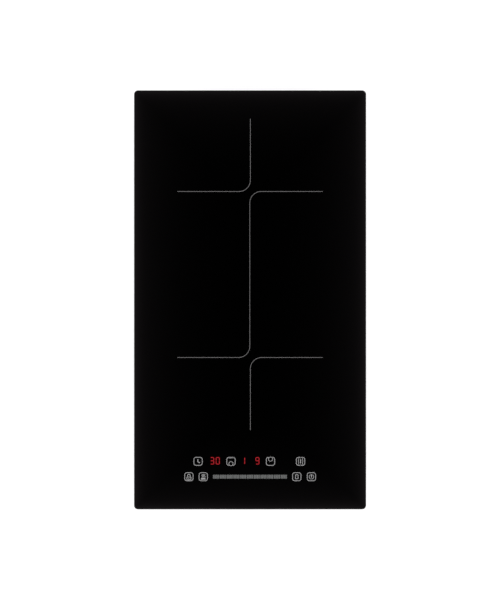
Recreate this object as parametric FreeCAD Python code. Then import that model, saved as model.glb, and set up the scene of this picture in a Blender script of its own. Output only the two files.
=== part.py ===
import FreeCAD, Part
import os
from math import cos, hypot, pi, radians, sin, sqrt, tan

from FreeCAD import Vector

# Built-in induction hob, 30 cm wide, with two cooking zones one behind the other.
# Millimetres, +Z up, the user stands at -Y. The origin is the centre of the tray's
# underside, on the surface that the hob stands on before it is fitted.

# ---------------------------------------------------------------- driving sizes

# Glass
glass_width = 288.0
glass_length = 520.0
glass_thick = 4.0
glass_corner = 5.0
glass_top_edge = 1.2
glass_low_edge = 0.5

# Sheet-metal tray and the frame bonded under the glass
sheet = 0.8
tray_inset = 14.0  # from the glass edge to the tray's wall
tray_height = 52.0
tray_bend = 2.0
notch_x = 20.0  # open corner of the tray, where a clamp swings
notch_y = 52.0
frame_sheet = 1.0
frame_lip = 2.0  # the frame beyond the tray's wall
frame_flange = 10.0  # the frame inside the tray's wall
skirt_drop = 9.0
skirt_gap = 6.0
bead_thick = 1.0
bead_width = 6.0
bead_inset = 1.0
seal_inset = 1.5
seal_width = 8.0
seal_thick = 3.0

# Fasteners
fit_gap = 0.15  # a screw in its clearance hole
m3_shank = 1.5
m3_head = 2.8
m3_head_high = 1.9
m3_long = 8.5
frame_screw_long = 5.0
clamp_shank = 2.5
clamp_head = 5.0
clamp_head_high = 3.5

# Worktop clamps
clamp_edge_x = 10.0  # from the tray's side wall line to the pivot
clamp_edge_y = 14.0
clamp_width = 14.0
clamp_thick = 2.5
clamp_reach = 32.0
clamp_flat = 12.0
clamp_ramp = 5.0
clamp_rise = 5.0
clamp_level = 17.0
nut_radius = 3.4
nut_head = 4.5
nut_head_high = 0.8
nut_long = 9.0

# Cooking zones
rear_zone_margin = 125.6  # from the rear glass edge to the rear zone's centre
zone_pitch = 205.9
mica_thick = 0.6
mica_radius = 84.0
wire_radius = 2.0
wire_gap = 0.1  # between one turn and the next
wire_start = 22.0
carrier_radius = 84.0
carrier_thick = 1.5
coil_gap = 0.2  # coil to glass
layer_gap = 0.05
rim_thick = 1.5
rim_drop = 2.0
hub_radius = 16.0
hub_bore = 13.5
hub_shelf = 9.0
shelf_thick = 1.5
ferrite_count = 8
ferrite_long = 54.0
ferrite_wide = 14.0
ferrite_thick = 5.0
ferrite_start = 23.0
ear_radius = 7.0
ear_out = 89.0
coil_travel = 2.0
spring_long = 10.5
spring_wire = 0.45
spring_radius = 3.6
spring_halves = 9  # half turns
guide_shank = 2.0
guide_head = 3.6
guide_head_high = 2.0
guide_slack = 1.5
sensor_cup = 12.5
sensor_cup_high = 3.0
sensor_tip = 6.0
sensor_touch = 0.1
lead_radius = 1.8
lead_out = 60.0
lead_angle = 22.5

# Aluminium plate under the coils
plate_thick = 1.5
plate_side_gap = 5.2
plate_end_gap = 10.0
plate_lip = 6.0
pillar_flats = 6.0
pillar_edge = 6.0
pillar_end = 8.0

# Power board
board_thick = 1.6
board_wide = 180.0
board_long = 200.0
board_level = 7.0
board_hole_edge = 6.0
spacer_radius = 4.0
board_to_blower = 6.0
sink_wide = 40.0
sink_long = 118.0
sink_high = 19.0
sink_base = 4.5
sink_fins = 9
fin_thick = 1.4
sink_inset = 11.0  # from the board's rear edge
sink_side = 2.0  # from the board's left edge
device_thick = 4.8
device_wide = 15.6
device_long = 20.5
device_count = 5
post_radius = 3.4
post_high = 5.5

choke_ring = 13.0
choke_section = 3.6
choke_wire = 1.1
choke_turns = 9  # in each half of the winding

# Blower
blower_x = -46.0
blower_from_rear = 111.0  # from the tray's rear wall to the rotor's axis
blower_high = 25.3
blower_wall = 1.5
volute_start = 43.0
volute_step = 3.0
volute_shift = 1.5
blower_reach = 62.0
tongue_x = 4.0
inlet_radius = 29.0
blower_lug_high = 3.0
blower_lug_radius = 4.5
impeller_radius = 37.0
impeller_eye = 27.0
impeller_gap = 4.0  # above the blower's floor
impeller_high = 18.0
impeller_disc = 1.5
blade_count = 28
blade_sweep = 14.0
blade_share = 0.33  # a blade's thickness over the blade pitch
hub_cup = 17.0
cup_wall = 1.4
magnet_thick = 2.0
air_gap = 0.7
shaft_radius = 1.5
shaft_gap = 0.05
bearing_radius = 4.0
grille_radius = 34.0
grille_slot = 3.0
grille_pitch = 6.0

# Mains connection
mains_left = 20.0
mains_wide = 66.0
mains_long = 54.0
mains_high = 29.0
mains_wall = 2.0
mains_flange = 4.0
cover_thick = 2.0
cover_lift = 0.4
cover_gap = 0.4
hinge_barrel = 1.9
hinge_pin = 1.0
hinge_pin_long = 2.4
hinge_gap = 0.05
lug_thick = 3.0
lug_gap = 0.3
block_wide = 54.0
block_long = 18.0
block_high = 12.0
block_offset = 8.0
pole_count = 5
pole_screw = 1.2
pole_screw_long = 3.5
gland_bore = 6.0
gland_body = 8.5
gland_flange = 11.0
gland_flange_thick = 2.5
gland_nut = 10.4
gland_nut_thick = 3.0
gland_tail = 2.0
gland_level = 16.0
mains_wire = 1.5

# Touch controls
touch_margin = 50.0  # from the front glass edge to the middle of the keys
touch_wide = 184.0
touch_long = 48.0
touch_wall = 2.0
touch_board_inset = 2.0
touch_board_drop = 7.4  # from the glass down to the board's top
key_size = 12.0
key_row = 19.9  # between the two rows of keys
key_row_shift = 0.1
pad_radius = 3.6
slider_left = -46.2
slider_right = 46.1
slider_pads = 6
digit_wide = 7.5
digit_long = 14.0
digit_drop = 0.6
ribbon_wide = 16.0
ribbon_thick = 1.0
ribbon_x = 0.0
# Centres of the keys in the rear row and the front row, and of the digits
rear_keys = (-64.5, -23.7, 25.3, 62.6)
front_keys = (-75.9, -58.1, 57.9, 76.1)
digit_places = (-47.0, -40.1, -8.7, 9.1)

# Air slots in the tray's walls
slot_wide = 3.0
slot_high = 17.0
slot_low = 11.0
slot_pitch = 6.0

# Stiffening beads in the tray's floor
bead_deep = 0.75
bead_slot = 8.0

# ---------------------------------------------------------------- derived places

tray_x = glass_width / 2 - tray_inset
tray_y = glass_length / 2 - tray_inset
inner_x = tray_x - sheet
inner_y = tray_y - sheet
frame_top = tray_height + frame_sheet
glass_low = frame_top + bead_thick
glass_high = glass_low + glass_thick

wire_pitch = 2 * wire_radius + wire_gap
turns = int((carrier_radius - rim_thick - wire_radius - wire_start) / wire_pitch)

rear_zone_y = glass_length / 2 - rear_zone_margin
front_zone_y = rear_zone_y - zone_pitch
# Each zone's centre and the way its leads and first ear face
zones = {"rear": (rear_zone_y, -1), "front": (front_zone_y, 1)}

mica_top = glass_low - coil_gap
wire_z = mica_top - mica_thick - layer_gap - wire_radius
carrier_top = wire_z - wire_radius - layer_gap
carrier_low = carrier_top - carrier_thick
ferrite_low = carrier_low - ferrite_thick
plate_top = carrier_low - spring_long
plate_low = plate_top - plate_thick
plate_x = inner_x - notch_x - plate_side_gap
plate_y = inner_y - plate_end_gap

blower_y = tray_y - blower_from_rear
blower_top = sheet + blower_high
board_rear = blower_y - blower_reach - board_to_blower
board_front = board_rear - board_long
board_x = board_wide / 2
board_top = board_level + board_thick
sink_x = -board_x + sink_side + sink_wide / 2
sink_low = board_top + device_thick
choke_x = board_x - 34
choke_y = board_rear - 76
choke_z = board_top + choke_section + 2 * choke_wire + layer_gap
sink_rear = board_rear - sink_inset
sink_front = sink_rear - sink_long
floor_grille_y = -tray_y + notch_y + grille_radius

mains_right = mains_left + mains_wide
mains_rear = inner_y
mains_front = mains_rear - mains_long
mains_x = (mains_left + mains_right) / 2
hinge_y = mains_front + mains_wall + hinge_barrel + 0.7
hinge_z = cover_lift + cover_thick
block_front = mains_front + block_offset
block_low = mains_high - mains_wall - block_high

touch_y = -glass_length / 2 + touch_margin
touch_board_top = glass_low - touch_board_drop
touch_board_low = touch_board_top - board_thick
rear_row_y = touch_y + key_row / 2 + key_row_shift
front_row_y = touch_y - key_row / 2 + key_row_shift

ribbon_y = touch_y + touch_long / 2 + 4
ribbon_socket_y = board_front + 8
wire_level = block_low + block_high / 2

clamp_x = tray_x - clamp_edge_x
clamp_y = tray_y - clamp_edge_y
corners = {
    "front_left": (-1, -1),
    "front_right": (1, -1),
    "rear_left": (-1, 1),
    "rear_right": (1, 1),
}

UP = Vector(0, 0, 1)
DOWN = Vector(0, 0, -1)


# ---------------------------------------------------------------- basic shapes


def block(x0, x1, y0, y1, z0, z1):
    return Part.makeBox(x1 - x0, y1 - y0, z1 - z0, Vector(x0, y0, z0))


def direction(angle):
    """A unit vector in plan, angle degrees from +X."""
    return Vector(cos(radians(angle)), sin(radians(angle)), 0)


def rod(start, along, length, radius):
    return Part.makeCylinder(radius, length, start, along)


def disc(x, y, z0, z1, radius):
    return rod(Vector(x, y, z0), UP, z1 - z0, radius)


def ring(x, y, z0, z1, outer, inner):
    return disc(x, y, z0, z1, outer).cut(disc(x, y, z0, z1, inner))


def prism(points, z0, z1):
    """A closed outline of (x, y) corners, raised from z0 to z1."""
    corners_3d = [Vector(x, y, z0) for x, y in points]
    outline = Part.makePolygon(corners_3d + corners_3d[:1])
    return Part.Face(outline).extrude(Vector(0, 0, z1 - z0))


def upright_edges(solid):
    """The straight vertical edges of a solid."""
    found = []
    for edge in solid.Edges:
        first, last = edge.Vertexes[0].Point, edge.Vertexes[-1].Point
        if hypot(first.x - last.x, first.y - last.y) < 1e-6 < abs(first.z - last.z):
            found.append(edge)
    return found


def edges_at(solid, z):
    """The edges of a solid that lie in the level plane at z."""
    return [e for e in solid.Edges if abs(e.BoundBox.ZMin - z) + abs(e.BoundBox.ZMax - z) < 1e-6]


def rounded_block(x0, x1, y0, y1, z0, z1, radius):
    solid = block(x0, x1, y0, y1, z0, z1)
    return solid.makeFillet(radius, upright_edges(solid))


def band(half_x, half_y, width, z0, z1, radius):
    """A rectangular ring, width wide, inside half_x and half_y."""
    outer = rounded_block(-half_x, half_x, -half_y, half_y, z0, z1, radius)
    return outer.cut(block(-half_x + width, half_x - width, -half_y + width, half_y - width, z0, z1))


def upright_slot(x, y, z0, z1, half_long, width, along_x=True):
    """A slot with round ends, cut through from z0 to z1."""
    half = width / 2
    reach = half_long - half
    if along_x:
        middle = block(x - reach, x + reach, y - half, y + half, z0, z1)
        ends = [disc(x + s * reach, y, z0, z1, half) for s in (-1, 1)]
    else:
        middle = block(x - half, x + half, y - reach, y + reach, z0, z1)
        ends = [disc(x, y + s * reach, z0, z1, half) for s in (-1, 1)]
    return middle.multiFuse(ends).removeSplitter()


def wall_slot(x, y, z0, z1, width, depth, along_x):
    """An upright slot with round ends, cut through a wall along X or along Y."""
    half = width / 2
    axis = Vector(1, 0, 0) if along_x else Vector(0, 1, 0)
    start = Vector(x, y, 0) - axis * (depth / 2)
    if along_x:
        middle = block(start.x, start.x + depth, y - half, y + half, z0 + half, z1 - half)
    else:
        middle = block(x - half, x + half, start.y, start.y + depth, z0 + half, z1 - half)
    ends = [rod(Vector(start.x, start.y, z), axis, depth, half) for z in (z0 + half, z1 - half)]
    return middle.multiFuse(ends).removeSplitter()


def screw(seat, into, shank, length, head, head_high):
    """A pan-head screw with a cross recess. Its head stands on seat, and its shank goes along into."""
    out = into * -1
    cap = rod(seat, out, head_high, head)
    top = seat + out * head_high
    rim = [e for e in cap.Edges if e.Length < 7 * head and abs((e.CenterOfMass - top).Length) < 1e-6]
    cap = cap.makeFillet(head_high * 0.45, rim)
    turn = FreeCAD.Rotation(UP, out)
    for angle in (0, 90):
        arm = block(-head * 0.55, head * 0.55, -head * 0.1, head * 0.1, -head_high * 0.5, head_high)
        arm.Placement = FreeCAD.Placement(top, turn * FreeCAD.Rotation(UP, angle))
        cap = cap.cut(arm)
    return cap.fuse(rod(seat, into, length, shank)).removeSplitter()


def wire_through(points, radius, bend):
    """A round wire through the points: straight runs joined by tangent arcs."""
    edges = []
    start = points[0]
    for before, corner, after in zip(points, points[1:], points[2:]):
        back = (before - corner).normalize()
        ahead = (after - corner).normalize()
        half = back.getAngle(ahead) / 2
        shorter = min((before - corner).Length, (after - corner).Length)
        reach = min(bend / tan(half), 0.45 * shorter)
        centre = corner + (back + ahead).normalize() * (reach / cos(half))
        middle = centre + (corner - centre).normalize() * (reach * tan(half))
        edges.append(Part.makeLine(start, corner + back * reach))
        edges.append(Part.Arc(corner + back * reach, middle, corner + ahead * reach).toShape())
        start = corner + ahead * reach
    edges.append(Part.makeLine(start, points[-1]))
    return sweep_round(Part.Wire(edges), points[0], points[1] - points[0], radius)


def sweep_round(path, start, direction, radius):
    section = Part.Wire(Part.makeCircle(radius, start, direction))
    return path.makePipeShell([section], True, False)


def join(solids):
    return solids[0].multiFuse(solids[1:]).removeSplitter()


def save(name, *solids):
    shape = solids[0] if len(solids) == 1 else Part.makeCompound(list(solids))
    shape.exportStep(f"parts/{name}.step")


# ---------------------------------------------------------------- glass and frame


def notched_outline(inset):
    """The tray's plan, a rectangle with four open corners, taken in by inset."""
    x, y = tray_x - inset, tray_y - inset
    step_x, step_y = x - notch_x, y - notch_y
    quarter = [(x, step_y), (step_x, step_y), (step_x, y)]
    outline = []
    for sign_x, sign_y in ((1, 1), (-1, 1), (-1, -1), (1, -1)):
        points = [(sign_x * px, sign_y * py) for px, py in quarter]
        outline += points if sign_x * sign_y > 0 else points[::-1]
    return outline


def glass_top():
    x, y = glass_width / 2, glass_length / 2
    plate = rounded_block(-x, x, -y, y, glass_low, glass_high, glass_corner)
    plate = plate.makeFillet(glass_top_edge, edges_at(plate, glass_high))
    return plate.makeChamfer(glass_low_edge, edges_at(plate, glass_low))


def worktop_seal():
    x, y = glass_width / 2 - seal_inset, glass_length / 2 - seal_inset
    return band(x, y, seal_width, glass_low - seal_thick, glass_low, glass_corner - seal_inset)


def bond_bead():
    x = tray_x + frame_lip - bead_inset
    y = tray_y + frame_lip - bead_inset
    return band(x, y, bead_width, frame_top, glass_low, bead_width / 4)


def frame_screw_places():
    """Each frame screw's seat on the tray's wall, and the way it goes in."""
    level = tray_height - skirt_drop / 2
    side = (tray_y - notch_y) * 0.8
    end = (tray_x - notch_x) * 0.7
    places = []
    for sign in (-1, 1):
        for y in (-side, 0, side):
            places.append((Vector(sign * tray_x, y, level), Vector(-sign, 0, 0)))
        for x in (-end, end):
            places.append((Vector(x, sign * tray_y, level), Vector(0, -sign, 0)))
    return places


def upper_frame():
    """A flat flange, and a skirt under each of its four sides."""
    x, y = tray_x + frame_lip, tray_y + frame_lip
    flange = rounded_block(-x, x, -y, y, tray_height, frame_top, glass_corner - seal_inset)
    flange = flange.cut(prism(notched_outline(frame_flange), tray_height, frame_top))
    side = tray_y - notch_y - skirt_gap
    end = tray_x - notch_x - skirt_gap
    low = tray_height - skirt_drop
    skirts = []
    for sign in (-1, 1):
        x0, x1 = sorted((sign * inner_x, sign * (inner_x - frame_sheet)))
        y0, y1 = sorted((sign * inner_y, sign * (inner_y - frame_sheet)))
        skirts.append(block(x0, x1, -side, side, low, tray_height))
        skirts.append(block(-end, end, y0, y1, low, tray_height))
    holes = [rod(s, i, frame_screw_long, m3_shank + fit_gap) for s, i in frame_screw_places()]
    holes += [disc(sx * clamp_x, sy * clamp_y, tray_height, frame_top, nut_radius)
              for sx, sy in corners.values()]
    drill = Part.makeCompound(holes)
    return [piece.cut(drill).Solids[0] for piece in [flange] + skirts]


def frame_screws():
    return [screw(s, i, m3_shank, frame_screw_long, m3_head, m3_head_high) for s, i in frame_screw_places()]


# ---------------------------------------------------------------- tray


def floor_slots(x, y, radius):
    """Parallel slots that fill a circle."""
    rows = int(radius / grille_pitch)
    slots = []
    for row in range(-rows, rows + 1):
        offset = row * grille_pitch
        half_long = sqrt(radius**2 - offset**2)
        if half_long > grille_slot:
            slots.append(upright_slot(x, y + offset, 0, sheet, half_long, grille_slot))
    return slots


def slot_row(first, last):
    """Places along a wall, slot_pitch apart, centred between first and last."""
    count = int((last - first) / slot_pitch)
    start = (first + last - count * slot_pitch) / 2
    return [start + i * slot_pitch for i in range(count + 1)]


def wall_slots():
    top = slot_low + slot_high
    slots = []
    for sign in (-1, 1):
        for y in slot_row(board_front, sink_front):
            slots.append(wall_slot(sign * tray_x, y, slot_low, top, slot_wide, 4 * sheet, True))
    for x in slot_row(-sink_wide * 1.5, sink_wide * 1.5):
        slots.append(wall_slot(x, -tray_y, slot_low, top, slot_wide, 4 * sheet, False))
    return slots


def floor_beads():
    """Long stiffening beads pressed up into the floor under the power board."""
    y = (board_front + board_rear) / 2
    return [(sign * board_x * 0.55, y, board_long * 0.42) for sign in (-1, 1)]


def floor_fixings():
    """Where an M3 screw comes down into the tray's floor."""
    return board_hole_places() + blower_lug_places() + mains_lug_places()


def tray_areas():
    """Plan areas that part the tray at its bends: floor, side walls, end walls, corner walls."""
    x, y, bend = tray_x, tray_y, tray_bend
    step_x, step_y = x - notch_x, y - notch_y
    areas = [(-x + bend, x - bend, -step_y + bend, step_y - bend)]
    for way in (-1, 1):
        areas.append((-step_x + bend, step_x - bend, way * (step_y - bend), way * (y - bend)))
        areas.append((way * (x - bend), way * x, -step_y, step_y))
        areas.append((-step_x, step_x, way * (y - bend), way * y))
        for side in (-1, 1):
            near, far = side * (step_x - bend), side * (step_x + bend)
            areas.append((near, side * (x - bend), way * (step_y - bend), way * (step_y + bend)))
            areas.append((near, far, way * (step_y + bend), way * (y - bend)))
    return areas


def bottom_tray():
    """Sheet of one thickness, as flat floor pieces and the walls that meet them at the bends."""
    shell = prism(notched_outline(0), 0, tray_height)
    shell = shell.makeFillet(tray_bend, upright_edges(shell) + edges_at(shell, 0))
    bend_in = tray_bend - sheet
    hollow = prism(notched_outline(sheet), sheet, tray_height + 1)
    hollow = hollow.makeFillet(bend_in, upright_edges(hollow) + edges_at(hollow, sheet))
    tray = shell.cut(hollow)
    raised_beads = []
    for x, y, half_long in floor_beads():
        wide = bead_slot + 2 * sheet
        raised_beads.append(upright_slot(x, y, bead_deep, bead_deep + sheet, half_long + sheet, wide,
                                         False))
    tray = join([tray] + raised_beads)
    tools = floor_slots(blower_x, blower_y, grille_radius)
    tools += floor_slots(0, floor_grille_y, grille_radius)
    tools += wall_slots()
    tools += [rod(s, i, 2 * sheet, m3_shank + fit_gap) for s, i in frame_screw_places()]
    tools += [disc(x, y, 0, sheet, m3_shank + fit_gap) for x, y in floor_fixings()]
    for x, y, half_long in floor_beads():
        tools.append(upright_slot(x, y, 0, bead_deep, half_long, bead_slot, False))
    left, right = mains_left + mains_wall, mains_right - mains_wall
    tools.append(block(left, right, mains_front + mains_wall, mains_rear - mains_wall, 0, sheet))
    tools.append(rod(Vector(mains_x, inner_y - 1, gland_level), Vector(0, 1, 0), 3, gland_body))
    tray = tray.cut(Part.makeCompound(tools))
    pieces = []
    for x0, x1, y0, y1 in tray_areas():
        area = block(min(x0, x1), max(x0, x1), min(y0, y1), max(y0, y1), 0, tray_height)
        pieces += tray.common(area).Solids
    return pieces


# ---------------------------------------------------------------- clamps


def clamp(sign_x, sign_y):
    """A joggled steel clamp, parked along Y in the tray's open corner."""
    back = clamp_width / 2
    low, high = clamp_level, clamp_level + clamp_thick
    ramp_end = clamp_flat + clamp_ramp
    side = [
        (-back, low),
        (clamp_flat + 1, low),
        (ramp_end + 1, low + clamp_rise),
        (clamp_reach, low + clamp_rise),
        (clamp_reach, high + clamp_rise),
        (ramp_end, high + clamp_rise),
        (clamp_flat, high),
        (-back, high),
    ]
    points = [Vector(-back, -s, z) for s, z in side]
    strip = Part.Face(Part.makePolygon(points + points[:1])).extrude(Vector(clamp_width, 0, 0))
    plan = block(-back, back, -clamp_reach, 0, low, high + clamp_rise)
    plan = plan.makeFillet(back * 0.4, [e for e in upright_edges(plan) if e.CenterOfMass.y < -back])
    strip = strip.common(plan.fuse(disc(0, 0, low, high + clamp_rise, back)))
    strip = strip.cut(disc(0, 0, low, high, clamp_shank + fit_gap))
    if sign_y < 0:
        strip.rotate(Vector(0, 0, 0), UP, 180)
    strip.translate(Vector(sign_x * clamp_x, sign_y * clamp_y, 0))
    return strip


def clamp_screw(sign_x, sign_y):
    seat = Vector(sign_x * clamp_x, sign_y * clamp_y, clamp_level)
    length = frame_top - nut_head_high - clamp_level
    return screw(seat, UP, clamp_shank, length, clamp_head, clamp_head_high)


def clamp_nut(sign_x, sign_y):
    x, y = sign_x * clamp_x, sign_y * clamp_y
    body = disc(x, y, frame_top - nut_long, frame_top, nut_radius)
    head = disc(x, y, frame_top, frame_top + nut_head_high, nut_head)
    return body.fuse(head).cut(disc(x, y, frame_top - nut_long, frame_top, clamp_shank))


# ---------------------------------------------------------------- coils


def ear_places(zone_y, facing):
    """The three ears of a coil carrier: one towards the other coil, two away from it."""
    outs = [direction(facing * 90 + turn) * ear_out for turn in (0, 120, 240)]
    return [(out.x, zone_y + out.y) for out in outs]


def lead_places(zone_y, facing):
    """Where the two ends of a winding go down, each side of the coil's middle line."""
    outs = [direction(facing * (90 + turn)) * lead_out for turn in (lead_angle, -lead_angle)]
    return [(out.x, zone_y + out.y) for out in outs]


def coil_carrier(zone_y, facing):
    plate = disc(0, zone_y, carrier_low, carrier_top, carrier_radius)
    rim = ring(0, zone_y, carrier_low - rim_drop, carrier_top + wire_radius, carrier_radius,
               carrier_radius - rim_thick)
    hub = ring(0, zone_y, ferrite_low, mica_top - mica_thick, hub_radius, hub_bore)
    shelf = ring(0, zone_y, carrier_low, carrier_low + shelf_thick, hub_bore, hub_shelf)
    plate = join([plate.cut(disc(0, zone_y, carrier_low, carrier_top, hub_bore)), rim, hub, shelf])
    for x, y in ear_places(zone_y, facing):
        plate = plate.fuse(disc(x, y, carrier_low, carrier_top, ear_radius))
    for x, y in ear_places(zone_y, facing):
        plate = plate.cut(disc(x, y, carrier_low - rim_drop, mica_top, guide_shank + 2 * fit_gap))
        plate = plate.cut(disc(x, y, carrier_top, mica_top, guide_head + 2 * fit_gap))
    for x, y in lead_places(zone_y, facing):
        plate = plate.cut(disc(x, y, carrier_low, carrier_top, lead_radius + 2 * fit_gap))
    return plate.removeSplitter()


def coil_winding(zone_y):
    """A flat spiral of half turns about two centres, half a pitch apart."""
    halves = []
    for half in range(2 * turns):
        radius = wire_start + half * wire_pitch / 2
        centre = Vector(wire_pitch / 2 * (half % 2), zone_y, wire_z)
        side = 1 if half % 2 == 0 else -1
        ends = [centre + Vector(side * radius, 0, 0), centre - Vector(side * radius, 0, 0)]
        halves.append(Part.Arc(ends[0], centre + Vector(0, side * radius, 0), ends[1]).toShape())
    start = Vector(wire_start, zone_y, wire_z)
    return sweep_round(Part.Wire(halves), start, Vector(0, 1, 0), wire_radius)


def ferrites(zone_y):
    bars = []
    for bar in range(ferrite_count):
        solid = block(ferrite_start, ferrite_start + ferrite_long, -ferrite_wide / 2, ferrite_wide / 2,
                      ferrite_low, carrier_low)
        solid.rotate(Vector(0, 0, 0), UP, bar * 360 / ferrite_count)
        solid.translate(Vector(0, zone_y, 0))
        bars.append(solid)
    return bars


def coil_mica(zone_y):
    return ring(0, zone_y, mica_top - mica_thick, mica_top, mica_radius, hub_radius - 1)


def heat_sensor(zone_y):
    """The soft cup that presses the thermistor to the glass."""
    low = carrier_low + shelf_thick
    cup = disc(0, zone_y, low, low + sensor_cup_high, sensor_cup)
    return cup.fuse(disc(0, zone_y, low + sensor_cup_high, glass_low - sensor_touch, sensor_tip))


def coil_spring(x, y):
    """An open coil spring of tilted half turns, from the plate up to a carrier's ear."""
    rise = (spring_long - 2 * spring_wire) / spring_halves
    across = hypot(spring_radius, rise / 2)
    halves = []
    for half in range(spring_halves):
        low = Vector(x, y, plate_top + spring_wire + half * rise)
        side = 1 if half % 2 == 0 else -1
        points = [low + Vector(side * spring_radius, 0, 0), low + Vector(0, side * across, rise / 2),
                  low + Vector(-side * spring_radius, 0, rise)]
        halves.append(Part.Arc(*points).toShape())
    start = Vector(x + spring_radius, y, plate_top + spring_wire)
    return sweep_round(Part.Wire(halves), start, Vector(0, 1, 0), spring_wire)


def guide_screw(x, y):
    seat = Vector(x, y, carrier_top + guide_slack)
    return screw(seat, DOWN, guide_shank, seat.z - plate_low, guide_head, guide_head_high)


def coil_leads(zone_y, facing):
    """Two stranded leads from the winding down to the power board's posts."""
    leads = []
    for (x, y), (post_x, post_y) in zip(lead_places(zone_y, facing), post_places(zone_y, facing)):
        high = carrier_top
        foot = board_top + post_high
        if abs(y - post_y) < 1e-6:
            points = [Vector(x, y, high), Vector(x, y, foot)]
            leads.append(rod(points[0], DOWN, high - foot, lead_radius))
        else:
            bend_z = (plate_low + foot) / 2
            points = [Vector(x, y, high), Vector(x, y, bend_z), Vector(post_x, post_y, bend_z),
                      Vector(post_x, post_y, foot)]
            leads.append(wire_through(points, lead_radius, 3 * lead_radius))
    return leads


def post_places(zone_y, facing):
    """Board posts under a coil's leads, moved onto the board where the leads are behind it."""
    inside = board_rear - board_hole_edge - post_radius
    return [(x, min(y, inside)) for x, y in lead_places(zone_y, facing)]


# ---------------------------------------------------------------- plate


def pillar_places():
    x, y = plate_x - pillar_edge, plate_y - pillar_end
    return [(sx * x, row) for row in (-y, 0, y) for sx in (-1, 1)]


def coil_plate():
    plate = rounded_block(-plate_x, plate_x, -plate_y, plate_y, plate_low, plate_top, 3)
    lip_end = plate_y - 2 * pillar_end
    lips = []
    for sign in (-1, 1):
        x0, x1 = sorted((sign * plate_x, sign * (plate_x - plate_thick)))
        lips.append(block(x0, x1, -lip_end, lip_end, plate_top - plate_lip, plate_low))
    plate = join([plate] + lips)
    tools = [disc(x, y, plate_low, plate_top, m3_shank + fit_gap) for x, y in pillar_places()]
    for zone_y, facing in zones.values():
        tools.append(disc(0, zone_y, plate_low, plate_top, hub_shelf))
        for x, y in ear_places(zone_y, facing):
            tools.append(disc(x, y, plate_low, plate_top, guide_shank))
        for x, y in lead_places(zone_y, facing):
            tools.append(disc(x, y, plate_low, plate_top, 2 * lead_radius))
    tools.append(upright_slot(ribbon_x, ribbon_y, plate_low, plate_top, ribbon_wide / 2 + 3, 5))
    return plate.cut(Part.makeCompound(tools))


def plate_pillar(x, y):
    points = [direction(angle) * (pillar_flats / 2 / cos(pi / 6)) for angle in range(0, 360, 60)]
    pillar = prism([(x + p.x, y + p.y) for p in points], sheet, plate_low)
    return pillar.cut(disc(x, y, plate_low - m3_long, plate_low, m3_shank + fit_gap))


def m3_screws():
    """Every pan-head M3 screw that comes down from above."""
    places = [(x, y, plate_top) for x, y in pillar_places()]
    places += [(x, y, board_top) for x, y in board_hole_places()]
    places += [(x, y, sheet + blower_lug_high) for x, y in blower_lug_places()]
    places += [(x, y, sheet + mains_wall) for x, y in mains_lug_places()]
    places += [(x, y, touch_board_top) for x, y in touch_screw_places()]
    screws = []
    for x, y, z in places:
        long = min(m3_long, z - layer_gap)
        screws.append(screw(Vector(x, y, z), DOWN, m3_shank, long, m3_head, m3_head_high))
    return screws


# ---------------------------------------------------------------- power board


def board_hole_places():
    x = board_x - board_hole_edge
    rows = (board_front + board_hole_edge, board_rear - board_hole_edge)
    return [(sx * x, y) for y in rows for sx in (-1, 1)]


def power_board():
    board = rounded_block(-board_x, board_x, board_front, board_rear, board_level, board_top, 2)
    holes = [disc(x, y, board_level, board_top, m3_shank + fit_gap) for x, y in board_hole_places()]
    return board.cut(Part.makeCompound(holes))


def board_spacers():
    hole = m3_shank + fit_gap
    return [ring(x, y, sheet, board_level, spacer_radius, hole) for x, y in board_hole_places()]


def device_places():
    step = sink_long / device_count
    return [(sink_x, sink_front + (i + 0.5) * step) for i in range(device_count)]


def heat_sink():
    x0, x1 = sink_x - sink_wide / 2, sink_x + sink_wide / 2
    top = sink_low + sink_high
    base = block(x0, x1, sink_front, sink_rear, sink_low, sink_low + sink_base)
    pitch = (sink_wide - fin_thick) / (sink_fins - 1)
    fins = []
    for fin in range(sink_fins):
        left = x0 + fin * pitch
        fins.append(block(left, left + fin_thick, sink_front, sink_rear, sink_low + sink_base, top))
    feet = []
    for left in (x0, x1 - fin_thick):
        feet.append(block(left, left + fin_thick, sink_front, sink_rear, board_top, sink_low))
    return join([base] + fins + feet)


def power_transistors():
    """Flat packages with three legs each, pressed between the board and the heat sink."""
    devices = []
    for x, y in device_places():
        body = block(x - device_long / 2, x + device_long / 2 - 4, y - device_wide / 2, y + device_wide / 2,
                     board_top, sink_low)
        legs = [block(x + device_long / 2 - 4, x + device_long / 2 + 1, y + s * 5 - 0.6, y + s * 5 + 0.6,
                      board_top, board_top + 0.8) for s in (-1, 0, 1)]
        devices.append(join([body] + legs))
    return devices


def film_capacitors():
    """Box capacitors in a row along the board's right edge."""
    wide, long, high = 31.5, 15.0, 23.0
    left = board_x - 12 - wide
    boxes = []
    for i in range(4):
        front = board_front + 16 + i * (long + 3)
        box = block(left, left + wide, front, front + long, board_top, board_top + high)
        top_edges = upright_edges(box) + edges_at(box, board_top + high)
        boxes.append(box.makeFillet(0.8, top_edges))
    return boxes


def smoothing_capacitors():
    cans = []
    for i in range(3):
        can = disc(-board_x + 20 + i * 21, board_front + 24, board_top, board_top + 21, 8)
        cans.append(can.makeFillet(1.2, edges_at(can, board_top + 21)))
    return cans


def choke_core():
    return Part.makeTorus(choke_ring, choke_section, Vector(choke_x, choke_y, choke_z))


def choke_winding():
    """Separate turns of enamelled wire round the core, in two halves."""
    loops = []
    around = choke_section + choke_wire + layer_gap
    for side in (0, 180):
        for i in range(choke_turns):
            angle = side + 18 + i * 144 / (choke_turns - 1)
            centre = Vector(choke_x, choke_y, choke_z) + direction(angle) * choke_ring
            loops.append(Part.makeTorus(around, choke_wire, centre, direction(angle + 90)))
    return loops


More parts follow.
